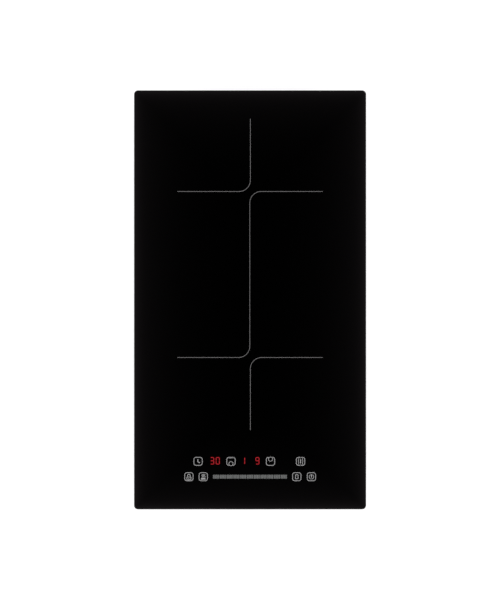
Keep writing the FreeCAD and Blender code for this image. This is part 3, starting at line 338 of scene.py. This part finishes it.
def black_glass():
    """Polished black glass ceramic. Its colour is a little paler towards its edge, which is a painted sheen,
    and its ground edge face is paler grey and rougher.
    """
    paint = Paint("black_glass", (0.001, 0.001, 0.001), 0.05, IOR=1.5)
    to_side = paint.math("SUBTRACT", glass_half_x, paint.math("ABSOLUTE", paint.axis("X")))
    to_end = paint.math("SUBTRACT", glass_half_y, paint.math("ABSOLUTE", paint.axis("Y")))
    to_edge = paint.math("MAXIMUM", paint.math("MINIMUM", to_side, to_end), 0.0)
    # painted sheen: the colour grows paler within a few mm of the glass edge, and faintly over the outer 33
    # mm, standing in for light caught at the edge
    painted_sheen_near = paint.math("EXPONENT", paint.math("DIVIDE", to_edge, -3.9 * MM))
    wide = paint.math("EXPONENT", paint.math("DIVIDE", to_edge, -33 * MM))
    grey = paint.math("ADD", paint.math("MULTIPLY", painted_sheen_near, 0.0062), paint.math("MULTIPLY", wide, 0.0036))
    # the ground edge face itself is paler grey and rougher, which is its own look
    deep = paint.math("SUBTRACT", glass_face, paint.axis("Z"))
    ground = paint.math("GREATER_THAN", deep, 1.0 * MM)
    grey = paint.math("ADD", grey, paint.math("MULTIPLY", ground, 0.012))
    turned = paint.math("GREATER_THAN", deep, 0.02 * MM)
    paint.link(paint.between(turned, 0.5, 0.06), paint.shader.inputs["Specular IOR Level"])
    mix = paint.add("ShaderNodeCombineColor")
    for socket, tint in (("Red", 1.08), ("Green", 0.93), ("Blue", 0.99)):
        paint.link(paint.math("MULTIPLY", grey, tint), mix.inputs[socket])
    paint.link(mix.outputs["Color"], paint.shader.inputs["Base Color"])
    polish = paint.between(paint.noise(60, 5), 0.03, 0.08)
    rough = paint.math("ADD", polish, paint.math("MULTIPLY", ground, 0.3))
    paint.link(rough, paint.shader.inputs["Roughness"])
    return paint.material


def printed(name, color, grain):
    """Matt ceramic print with the fine dots of a screen."""
    paint = Paint(name, color, 0.55)
    dots = paint.noise(grain, 2)
    paint.paint(dots, (0.3, shade(color, 0.8)), (0.7, shade(color, 1.15)))
    paint.bump(dots, 0.01, 0.4)
    return paint.material


def lit_red(name, strength):
    """Red light from a seven-segment display below the glass."""
    paint = Paint(name, (0.002, 0.0002, 0.0002), 0.06)
    glow = paint.noise(1.5, 2)
    paint.link(paint.colors(glow, (0.3, (0.80, 0.030, 0.042)), (0.7, (1.00, 0.055, 0.075))),
               paint.shader.inputs["Emission Color"])
    paint.set("Emission Strength", strength)
    return paint.material


def galvanised():
    """Hot-dip galvanised sheet: crystals of slightly different greys."""
    paint = Paint("galvanised_sheet", (0.5, 0.51, 0.52), 0.4, metal=1.0)
    crystals = paint.cells(4.5)
    fine = paint.noise(1.4, 4)
    cloud = paint.noise(45, 2)
    mixed = paint.math("ADD", paint.math("MULTIPLY", crystals, 0.40), paint.math("MULTIPLY", fine, 0.25))
    mixed = paint.math("ADD", mixed, paint.math("MULTIPLY", cloud, 0.35))
    paint.paint(mixed, (0.2, (0.43, 0.44, 0.45)), (0.5, (0.51, 0.52, 0.53)), (0.8, (0.58, 0.59, 0.60)))
    paint.roughen(mixed, 0.32, 0.46)
    paint.bump(mixed, 0.01, 0.4)
    return paint.material


def zinc(name, color, low=0.22, high=0.42):
    """Bright zinc plating with fine drag marks."""
    paint = Paint(name, color, 0.3, metal=1.0)
    marks = paint.noise(0.9, 4, (1, 1, 3))
    paint.paint(marks, (0.3, shade(color, 0.82)), (0.7, color))
    paint.roughen(marks, low, high)
    paint.bump(marks, 0.01, 0.4)
    return paint.material


def brushed(name, color, along):
    """Rolled aluminium with grain along one axis."""
    paint = Paint(name, color, 0.35, metal=1.0, Anisotropic=0.4)
    grain = paint.noise(0.5, 4, along)
    cloud = paint.noise(40, 2)
    both = paint.math("ADD", paint.math("MULTIPLY", grain, 0.7), paint.math("MULTIPLY", cloud, 0.3))
    paint.paint(both, (0.35, shade(color, 0.86)), (0.65, color))
    paint.roughen(grain, 0.28, 0.45)
    paint.bump(grain, 0.01, 0.5)
    return paint.material


def moulded(name, color, rough=0.5, grain=0.6, depth=0.02):
    """Moulded plastic with a fine spark-eroded grain."""
    paint = Paint(name, color, rough)
    skin = paint.noise(grain, 4)
    paint.paint(skin, (0.3, shade(color, 0.88)), (0.7, shade(color, 1.08)))
    paint.roughen(skin, rough - 0.08, rough + 0.08)
    paint.bump(skin, depth, 0.5)
    return paint.material


def foam(name, color):
    """Closed-cell foam."""
    paint = Paint(name, color, 0.95)
    pores = paint.cells(0.7, "Distance")
    paint.paint(pores, (0.0, shade(color, 0.4)), (0.5, shade(color, 1.4)))
    paint.bump(pores, 0.15, 0.8)
    return paint.material


def litz():
    """Enamelled copper strands twisted into one cable."""
    paint = Paint("copper_litz", (0.6, 0.22, 0.08), 0.38, metal=0.85)
    strands = paint.wave(1.1, "DIAGONAL", 3.0)
    paint.paint(strands, (0.2, (0.28, 0.08, 0.025)), (0.6, (0.62, 0.25, 0.09)), (1.0, (0.75, 0.36, 0.15)))
    paint.roughen(strands, 0.5, 0.3)
    paint.bump(strands, 0.18, 0.8)
    return paint.material


def sintered(name, color):
    """Pressed ferrite: dark, slightly pitted."""
    paint = Paint(name, color, 0.6, Specular_IOR_Level=0.6)
    pits = paint.noise(0.5, 5)
    paint.paint(pits, (0.35, shade(color, 0.5)), (0.6, color), (0.8, shade(color, 1.5)))
    paint.roughen(pits, 0.7, 0.45)
    paint.bump(pits, 0.05, 0.6)
    return paint.material


def mica():
    """Pressed mica paper with pearly flakes."""
    paint = Paint("mica_sheet", (0.6, 0.53, 0.4), 0.35, Sheen_Weight=0.2)
    flakes = paint.cells(2.2)
    paint.paint(flakes, (0.1, (0.44, 0.37, 0.26)), (0.5, (0.60, 0.53, 0.40)), (0.9, (0.74, 0.69, 0.57)))
    paint.roughen(flakes, 0.22, 0.5)
    paint.bump(flakes, 0.02, 0.4)
    return paint.material


def circuit_board():
    """Green solder mask over copper tracks."""
    paint = Paint("circuit_board", (0.02, 0.18, 0.07), 0.3, Coat_Weight=0.3)
    tracks = paint.add("ShaderNodeTexBrick")
    tracks.inputs["Scale"].default_value = 1.0
    tracks.inputs["Mortar Size"].default_value = 0.09
    tracks.inputs["Color1"].default_value = (0.010, 0.120, 0.045, 1)
    tracks.inputs["Color2"].default_value = (0.014, 0.150, 0.055, 1)
    tracks.inputs["Mortar"].default_value = (0.030, 0.240, 0.085, 1)
    paint.link(paint.stretched((0.11, 0.11, 0.11)), tracks.inputs["Vector"])
    paint.link(tracks.outputs["Color"], paint.shader.inputs["Base Color"])
    paint.roughen(paint.noise(3, 3), 0.25, 0.4)
    paint.bump(tracks.outputs["Fac"], 0.04, 0.6)
    return paint.material


def wrapped(name, color, period):
    """Tape or sleeve wound round a part, seen as fine bands."""
    paint = Paint(name, color, 0.4)
    bands = paint.wave(period, "Z", 0.6)
    paint.paint(bands, (0.0, shade(color, 0.75)), (0.6, color), (1.0, shade(color, 1.15)))
    paint.roughen(bands, 0.3, 0.5)
    paint.bump(bands, 0.05, 0.5)
    return paint.material


def braided():
    """Glass-fibre sleeve over a coil lead."""
    paint = Paint("fibre_sleeve", (0.66, 0.63, 0.55), 0.8, Sheen_Weight=0.3)
    braid = paint.math("MULTIPLY", paint.wave(0.9, "DIAGONAL"), paint.wave(0.9, "Z", 1.0))
    paint.paint(braid, (0.0, (0.42, 0.39, 0.32)), (0.7, (0.70, 0.67, 0.58)))
    paint.bump(braid, 0.12, 0.8)
    return paint.material


def three_wires():
    """Insulation in the three mains colours, told apart by where each wire lies."""
    paint = Paint("mains_insulation", (0.25, 0.10, 0.04), 0.4)
    low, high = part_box("mains_wires")
    share = paint.add("ShaderNodeMapRange")
    share.inputs["From Min"].default_value = low.x
    share.inputs["From Max"].default_value = high.x
    paint.link(paint.axis("X"), share.inputs["Value"])
    node = paint.add("ShaderNodeValToRGB")
    node.color_ramp.interpolation = "CONSTANT"
    node.color_ramp.elements[0].color = (0.23, 0.09, 0.035, 1)
    node.color_ramp.elements[1].position = 0.36
    node.color_ramp.elements[1].color = (0.03, 0.16, 0.50, 1)
    node.color_ramp.elements.new(0.67).color = (0.10, 0.36, 0.05, 1)
    paint.link(share.outputs["Result"], node.inputs["Fac"])
    paint.link(node.outputs["Color"], paint.shader.inputs["Base Color"])
    skin = paint.noise(0.8, 3)
    paint.roughen(skin, 0.3, 0.5)
    paint.bump(skin, 0.02, 0.4)
    return paint.material


def clear_fuse():
    """A glass tube with bright end caps."""
    low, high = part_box("fuse")
    paint = Paint("fuse_glass", (0.8, 0.82, 0.82), 0.1)
    from_middle = paint.math("ABSOLUTE", paint.math("SUBTRACT", paint.axis("Y"), (low.y + high.y) / 2))
    cap = paint.math("GREATER_THAN", from_middle, 5 * MM)
    paint.paint(cap, (0.0, (0.55, 0.58, 0.58)), (1.0, (0.70, 0.70, 0.68)))
    paint.link(cap, paint.shader.inputs["Metallic"])
    paint.roughen(paint.noise(0.7, 3), 0.1, 0.3)
    return paint.material


def make_materials():
    return {
        "glass": black_glass(),
        "line_print": printed("line_print", (0.176, 0.170, 0.173), 0.5),
        "key_print": printed("key_print", (0.345, 0.343, 0.345), 0.5),
        "slider_print": printed("slider_print", (0.128, 0.132, 0.130), 0.5),
        "lit_red": lit_red("lit_red", 0.50),
        "red_glow": lit_red("red_glow", 0.006),
        "galvanised": galvanised(),
        "zinc": zinc("zinc_plate", (0.62, 0.63, 0.62)),
        "clamp_zinc": zinc("clamp_zinc", (0.60, 0.58, 0.52), 0.3, 0.5),
        "spring": zinc("spring_steel", (0.52, 0.53, 0.54), 0.15, 0.3),
        "ground_steel": zinc("ground_steel", (0.66, 0.66, 0.66), 0.1, 0.2),
        "brass": zinc("tinned_brass", (0.66, 0.56, 0.34), 0.2, 0.4),
        "aluminium": brushed("aluminium_sheet", (0.74, 0.75, 0.76), (1, 24, 1)),
        "extrusion": brushed("extruded_aluminium", (0.68, 0.69, 0.70), (1, 30, 1)),
        "foam": foam("black_foam", (0.020, 0.020, 0.021)),
        "silicone": moulded("black_silicone", (0.014, 0.014, 0.014), 0.45, 2.0, 0.05),
        "sensor": moulded("white_silicone", (0.72, 0.72, 0.68), 0.55, 0.8),
        "black": moulded("black_plastic", (0.022, 0.022, 0.023)),
        "epoxy": moulded("black_epoxy", (0.018, 0.018, 0.019), 0.4, 0.4),
        "grey": moulded("grey_plastic", (0.30, 0.31, 0.32), 0.5),
        "white": moulded("white_nylon", (0.74, 0.74, 0.71), 0.45),
        "film": moulded("yellow_film_box", (0.62, 0.40, 0.03), 0.35, 1.0),
        "tape": wrapped("yellow_tape", (0.66, 0.46, 0.05), 3.0),
        "can": wrapped("blue_sleeve", (0.012, 0.03, 0.10), 9.0),
        "ribbon": wrapped("grey_ribbon", (0.45, 0.46, 0.48), 1.27),
        "litz": litz(),
        "ferrite": sintered("ferrite", (0.045, 0.045, 0.050)),
        "stator": sintered("stator_steel", (0.16, 0.14, 0.12)),
        "mica": mica(),
        "board": circuit_board(),
        "sleeve": braided(),
        "wires": three_wires(),
        "fuse": clear_fuse(),
        "display": moulded("display_face", (0.05, 0.006, 0.006), 0.35, 1.5),
    }


NODE_MATERIALS = {
    "glass": ["glass_top"],
    "foam": ["worktop_seal", "touch_pads"],
    "silicone": ["bond_bead"],
    "galvanised": ["bottom_tray", "upper_frame"],
    "zinc": ["frame_screws", "m3_screws", "guide_screws", "clamp_nuts", "clamp_screws", "plate_pillars"],
    "clamp_zinc": ["clamp_front_left", "clamp_front_right", "clamp_rear_left", "clamp_rear_right"],
    "spring": ["rear_coil_springs", "front_coil_springs"],
    "ground_steel": ["rotor_shaft"],
    "brass": ["board_posts", "terminal_screws"],
    "aluminium": ["coil_plate"],
    "extrusion": ["heat_sink"],
    "sensor": ["rear_heat_sensor", "front_heat_sensor"],
    "black": [
        "rear_coil_carrier", "front_coil_carrier", "blower_base", "blower_cover", "impeller", "cable_gland",
    ],
    "epoxy": ["power_transistors", "relay"],
    "grey": ["terminal_box", "terminal_cover"],
    "white": ["board_spacers", "board_sockets", "terminal_block", "touch_holder"],
    "film": ["film_capacitors"],
    "tape": ["supply_transformer"],
    "can": ["smoothing_capacitors"],
    "ribbon": ["touch_ribbon"],
    "litz": ["rear_coil_winding", "front_coil_winding", "choke_winding"],
    "ferrite": ["rear_ferrites", "front_ferrites", "choke_core", "rotor_magnet"],
    "stator": ["blower_stator"],
    "mica": ["rear_mica", "front_mica"],
    "board": ["power_board", "touch_board"],
    "sleeve": ["rear_coil_leads", "front_coil_leads"],
    "wires": ["mains_wires"],
    "fuse": ["fuse"],
    "display": ["digit_displays"],
}


def paint_frame(materials):
    for key, names in NODE_MATERIALS.items():
        for name in names:
            for slot in nodes[name].material_slots:
                slot.material = materials[key]


# ---------------------------------------------------------------- marks on the glass


def mark(name, material, x_mm, y, strokes=(), slabs=(), thin=1.0):
    """A printed mark of strokes (points, width) and filled outlines, in mm about its centre."""
    mesh = bmesh.new()
    low, high = glass_face - PRINT_DEEP, glass_face + PRINT_HIGH * thin

    def place(points):
        return [(x_mm * MM + px * MM, y + py * MM) for px, py in points]

    for points, width in strokes:
        add_ribbon(mesh, place(points), width * MM, low, high)
    for outline in slabs:
        add_slab(mesh, place(outline), low, high)
    return finished(name, mesh, material, "housing")


def zone_lines(material):
    """Three lines that bend a quarter turn beside each zone's middle."""
    step = (rear_zone.y - front_zone.y) / MM
    bend, reach, shift = LINE_BEND, ZONE_REACH, LINE_SHIFT
    rear = [(shift, reach)] + arc((shift - bend, bend), bend, 0, -90) + [(-reach, 0)]
    between = [(reach, 0)] + arc((bend - shift, -bend), bend, 90, 180)
    between += arc((-bend - shift, bend - step), bend, 0, -90) + [(-reach, -step)]
    front = [(reach, -step)] + arc((bend + shift, -bend - step), bend, 90, 180) + [(shift, -reach - step)]
    for name, points in (("rear", rear), ("middle", between), ("front", front)):
        mark(f"zone_line_{name}", material, 0, rear_zone.y, [(points, LINE_WIDE)])


def glyph_clock():
    return [([(-0.3, 2.7), (-0.3, -0.4), (2.3, -1.9)], 1.05)], []


def glyph_front_zone():
    return [(arc((0, -2.9), 2.6, 0, 360, 20), GLYPH_LINE), ([(-3.6, 4.5), (3.6, 4.5)], 1.0)], []


def glyph_rear_zone():
    return [(arc((0, 2.7), 2.6, 0, 360, 20), GLYPH_LINE)], []


def glyph_bridge():
    right = arc((-11.0, 0), 13.7, 17, -17)
    left = [(-x, y) for x, y in right]
    bars = [([(0, -2.5), (0, 2.5)], 1.2), ([(0, 4.0), (0, 5.4)], 0.9), ([(0, -5.4), (0, -4.0)], 0.9)]
    return [(right, GLYPH_LINE), (left, GLYPH_LINE)] + bars, []


def glyph_lock():
    shackle = [(-1.6, -0.4)] + arc((0, 1.5), 1.6, 180, 0) + [(1.6, -0.4)]
    body = rounded_square(2.5, 1.7, 0.5)
    return [(shackle, 0.8), ([(x, y - 2.1) for x, y in body], 0.8), ([(0, -2.9), (0, -1.5)], 0.9)], []


def glyph_keep_warm():
    pan = [(-2.9, -3.5), (2.9, -3.5), (2.5, -1.4), (-2.5, -1.4)]
    steam = [([(x + 0.4 * sin(t * 1.9), -0.8 + t) for t in (0, 0.8, 1.6, 2.4, 3.2, 4.0)], 0.75)
             for x in (-1.3, 0.3, 1.9)]
    return steam, [pan]


def glyph_boost():
    left, right, top, middle_y, bottom = -1.5, 0.5, 2.6, 0.1, -2.6
    upper = (top - middle_y) / 2
    lower = (middle_y - bottom) / 2
    outline = [(left, top)] + arc((right, middle_y + upper), upper, 90, -90) + [(left, middle_y)]
    belly = [(left, middle_y)] + arc((right, middle_y - lower), lower, 90, -90) + [(left, bottom)]
    return [(outline, 0.8), (belly, 0.8), ([(left, bottom - 0.4), (left, top + 0.4)], 0.9)], []


def glyph_power():
    return [(arc((0, -0.1), 2.8, 112, 428, 24), GLYPH_LINE), ([(0, 3.1), (0, -1.0)], 1.1)], []


GLYPHS = {
    "clock": glyph_clock,
    "front_zone": glyph_front_zone,
    "rear_zone": glyph_rear_zone,
    "bridge": glyph_bridge,
    "lock": glyph_lock,
    "keep_warm": glyph_keep_warm,
    "boost": glyph_boost,
    "power": glyph_power,
}
OPEN_SIDES = {"front_zone": "bottom", "rear_zone": "top"}


def keys(material):
    """Every key: a rounded square with its symbol."""
    for y, row in ((rear_row_y, REAR_ROW), (front_row_y, FRONT_ROW)):
        for name, x in row.items():
            strokes, slabs = GLYPHS[name]()
            frame_line = rounded_square(KEY_HALF_X, KEY_HALF_Y, KEY_BEND, OPEN_SIDES.get(name), 2.4)
            mark(f"key_{name}", material, x, y, [(frame_line, KEY_LINE)] + strokes, slabs)


def slider(material):
    """A bar of short ticks in groups, for sliding the heat up and down."""
    pitch = (SLIDER_RIGHT - SLIDER_LEFT) / SLIDER_GROUPS
    tick = (pitch - GROUP_GAP) / SLIDER_TICKS
    ticks = []
    for group in range(SLIDER_GROUPS):
        for i in range(SLIDER_TICKS):
            left = SLIDER_LEFT + group * pitch + i * tick + GROUP_GAP / 2
            right = left + tick - TICK_GAP
            half = SLIDER_HIGH / 2
            ticks.append([(left, -half), (right, -half), (right, half), (left, half)])
    mark("slider_bar", material, 0, slider_y + 0.5 * MM, slabs=ticks)


SEGMENTS = {
    "a": ((0, 1), (1, 1)), "b": ((1, 1), (1, 0.5)), "c": ((1, 0.5), (1, 0)), "d": ((0, 0), (1, 0)),
    "e": ((0, 0.5), (0, 0)), "f": ((0, 1), (0, 0.5)), "g": ((0, 0.5), (1, 0.5)),
}
SHAPES = {"0": "abcdef", "1": "bc", "3": "abcdg", "9": "abcdfg"}


def digits(material, glow):
    """Seven-segment digits, and the faint light round them."""
    gap = 0.35
    for name, figures in DIGITS.items():
        strokes = []
        for x, figure in figures:
            for letter in SHAPES[figure]:
                ends = [
                    Vector(((u - 0.5) * DIGIT_WIDE, (v - 0.5) * DIGIT_HIGH)) for u, v in SEGMENTS[letter]
                ]
                way = (ends[1] - ends[0]).normalized() * gap
                points = [ends[0] + way, ends[1] - way]
                strokes.append(([(x + p.x, p.y) for p in points], SEGMENT))
        mark(name, material, 0, digit_row_y + 0.3 * MM, strokes)
        across = [x for points, width in strokes for x, y in points]
        half = (max(across) - min(across)) / 2 + GLOW / 2
        outline = rounded_square(half, DIGIT_HIGH / 2 + GLOW / 2, GLOW / 2)[:-1]
        outline = [(x + (max(across) + min(across)) / 2, y) for x, y in outline]
        mark(f"{name}_glow", glow, 0, digit_row_y + 0.3 * MM, slabs=[outline], thin=0.5)


# ---------------------------------------------------------------- springs and leads under the coils

EAR_OUT = 89 * MM
SPRING_RADIUS = 3.6 * MM
SPRING_WIRE = 0.45 * MM
SPRING_COILS = 4.5
LEAD_BEND = 4.84 * MM
LEAD_BEND_SHARE = 0.307  # how far up a rear lead its double bend is
CRIMP_HIGH = 3 * MM
ZONES = {"rear": (rear_zone, -1), "front": (front_zone, 1)}


def spring_points(x, y, low, high):
    """A helix with a flat half turn at each end."""
    steps = 110
    points = []
    for i in range(steps + 1):
        share = i / steps
        turn = 2 * pi * (SPRING_COILS + 1) * share
        rise = min(1, max(0, (share * (SPRING_COILS + 1) - 0.5) / SPRING_COILS))
        z = low + SPRING_WIRE + (high - low - 2 * SPRING_WIRE) * rise
        points.append(Vector((x + SPRING_RADIUS * cos(turn), y + SPRING_RADIUS * sin(turn), z)))
    return points


def coil_springs(name, material):
    centre, facing = ZONES[name]
    low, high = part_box(f"{name}_coil_springs")
    mesh = bmesh.new()
    for turn in (0, 120, 240):
        angle = radians(facing * 90 + turn)
        x, y = EAR_OUT * cos(angle), centre.y + EAR_OUT * sin(angle)
        add_tube(mesh, spring_points(x, y, low.z, high.z), SPRING_WIRE, 8)
    piece = finished(f"{name}_coil_spring_set", mesh, material, "housing", smooth=True)
    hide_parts(f"{name}_coil_springs")
    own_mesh(piece)


def bent_lead(x, foot_y, head_y, low, high):
    """Down from the winding, across in a double bend, and down to the post."""
    level = low + LEAD_BEND_SHARE * (high - low)
    bend = LEAD_BEND
    points = [(head_y, high)] + arc((head_y - bend, level + bend), bend, 0, -90)
    points += arc((foot_y + bend, level - bend), bend, 90, 180) + [(foot_y, low)]
    return [Vector((x, y, z)) for y, z in points]


def coil_leads(name, material, crimp):
    """Two sleeved leads from the winding down to their posts, each with a crimped ring at its foot."""
    centre, facing = ZONES[name]
    low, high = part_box(f"{name}_coil_leads")
    radius = 1.8 * MM
    x_out = high.x - radius
    foot_y = low.y + radius
    head_y = high.y - radius
    mesh = bmesh.new()
    for side in (-1, 1):
        x = side * x_out
        if head_y - foot_y < radius:
            path = [Vector((x, foot_y, z)) for z in (high.z, (low.z + high.z) / 2, low.z)]
        else:
            path = bent_lead(x, foot_y, head_y, low.z, high.z)
        add_tube(mesh, path, radius, 14)
    ends = bmesh.new()
    for side in (-1, 1):
        foot = Vector((side * x_out, foot_y, low.z))
        add_tube(ends, [foot, foot + Vector((0, 0, CRIMP_HIGH))], radius * 1.25, 6)
    crimps = finished(f"{name}_lead_crimps", ends, crimp, "housing")
    piece = finished(f"{name}_coil_lead_pair", mesh, material, "housing", smooth=True)
    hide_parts(f"{name}_coil_leads")
    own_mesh(piece)


# ---------------------------------------------------------------- studio


FLOOR_SIZE = 6.0
FLOOR_GAP = 0.0002  # the floor below the tray, so that the two faces don't meet
FLOOR_GREY = 0.55
FLOOR_GLOW = 0.66  # light of its own, seen by the camera and in reflections
LAMP_WIDE = 1.6
LAMPS = {  # place and watts
    "lamp_left": ((-2.3, -0.7, 1.7), 31),
    "lamp_right": ((2.3, 0.5, 1.7), 23.5),
    "lamp_back": ((0.2, 2.5, 1.6), 18),
    "lamp_front": ((0.3, -2.5, 1.5), 18),
}
SKY = ((0.0, 0.75), (0.45, 0.70), (0.80, 0.40), (0.955, 0.04), (0.985, 0.004))  # grey by height, 1 is overhead


def studio():
    scene = bpy.context.scene
    scene.view_settings.view_transform = "Standard"

    floor_mesh = bmesh.new()
    bmesh.ops.create_grid(floor_mesh, x_segments=1, y_segments=1, size=FLOOR_SIZE)
    data = bpy.data.meshes.new("studio_floor")
    floor_mesh.to_mesh(data)
    floor_mesh.free()
    floor = bpy.data.objects.new("studio_floor", data)
    floor.location.z = cad_low.z - FLOOR_GAP
    scene.collection.objects.link(floor)
    data.materials.append(floor_white())

    scene.world = studio_world()
    for name, (place, power) in LAMPS.items():
        light = bpy.data.lights.new(name, "AREA")
        light.size = LAMP_WIDE
        light.energy = power
        lamp = bpy.data.objects.new(name, light)
        lamp.location = place
        lamp.rotation_euler = (-Vector(place)).to_track_quat("-Z", "Y").to_euler()
        scene.collection.objects.link(lamp)


def floor_white():
    """A white floor that keeps a soft shadow."""
    material = bpy.data.materials.new("floor_white")
    material.use_nodes = True
    tree = material.node_tree
    tree.nodes.clear()
    out = tree.nodes.new("ShaderNodeOutputMaterial")
    diffuse = tree.nodes.new("ShaderNodeBsdfDiffuse")
    diffuse.inputs["Color"].default_value = (FLOOR_GREY, FLOOR_GREY, FLOOR_GREY, 1)
    glow = tree.nodes.new("ShaderNodeEmission")
    path = tree.nodes.new("ShaderNodeLightPath")
    seen = tree.nodes.new("ShaderNodeMath")
    seen.operation = "MAXIMUM"
    tree.links.new(path.outputs["Is Camera Ray"], seen.inputs[0])
    tree.links.new(path.outputs["Is Glossy Ray"], seen.inputs[1])
    also = tree.nodes.new("ShaderNodeMath")
    also.operation = "MAXIMUM"
    tree.links.new(seen.outputs[0], also.inputs[0])
    tree.links.new(path.outputs["Is Transmission Ray"], also.inputs[1])
    strength = tree.nodes.new("ShaderNodeMath")
    strength.operation = "MULTIPLY"
    strength.inputs[1].default_value = FLOOR_GLOW
    tree.links.new(also.outputs[0], strength.inputs[0])
    tree.links.new(strength.outputs[0], glow.inputs["Strength"])
    both = tree.nodes.new("ShaderNodeAddShader")
    tree.links.new(diffuse.outputs[0], both.inputs[0])
    tree.links.new(glow.outputs[0], both.inputs[1])
    tree.links.new(both.outputs[0], out.inputs["Surface"])
    return material


def studio_world():
    """White to the camera. Otherwise a sky that is dark overhead and pale towards the horizon."""
    world = bpy.data.worlds.new("studio")
    world.use_nodes = True
    tree = world.node_tree
    background = tree.nodes["Background"]
    place = tree.nodes.new("ShaderNodeTexCoord")
    split = tree.nodes.new("ShaderNodeSeparateXYZ")
    tree.links.new(place.outputs["Generated"], split.inputs[0])
    ramp = tree.nodes.new("ShaderNodeValToRGB")
    while len(ramp.color_ramp.elements) < len(SKY):
        ramp.color_ramp.elements.new(0.5)
    for element, (position, grey) in zip(ramp.color_ramp.elements, SKY):
        element.position = position
        element.color = (grey, grey, grey, 1)
    tree.links.new(split.outputs["Z"], ramp.inputs["Fac"])
    path = tree.nodes.new("ShaderNodeLightPath")
    mix = tree.nodes.new("ShaderNodeMix")
    mix.data_type = "RGBA"
    tree.links.new(path.outputs["Is Camera Ray"], mix.inputs["Factor"])
    tree.links.new(ramp.outputs["Color"], mix.inputs["A"])
    mix.inputs["B"].default_value = (1, 1, 1, 1)
    tree.links.new(mix.outputs["Result"], background.inputs["Color"])
    return world


# The camera looks straight down. At the glass it takes in VIEW_HIGH from front to back.
VIEW_HIGH = 0.7442
CAMERA_UP = 2.2
CAMERA_AT = (-0.1 * MM, -0.2 * MM)


def camera():
    data = bpy.data.cameras.new("camera")
    data.sensor_width = 36.0
    data.lens = data.sensor_width * CAMERA_UP / VIEW_HIGH
    data.clip_end = 50
    eye = bpy.data.objects.new("camera", data)
    eye.location = (*CAMERA_AT, glass_face + CAMERA_UP)
    bpy.context.scene.collection.objects.link(eye)
    bpy.context.scene.camera = eye


def build():
    materials = make_materials()
    paint_frame(materials)
    zone_lines(materials["line_print"])
    keys(materials["key_print"])
    slider(materials["slider_print"])
    digits(materials["lit_red"], materials["red_glow"])
    for name in ZONES:
        coil_springs(name, materials["spring"])
        coil_leads(name, materials["sleeve"], materials["brass"])
    studio()
    camera()


build()
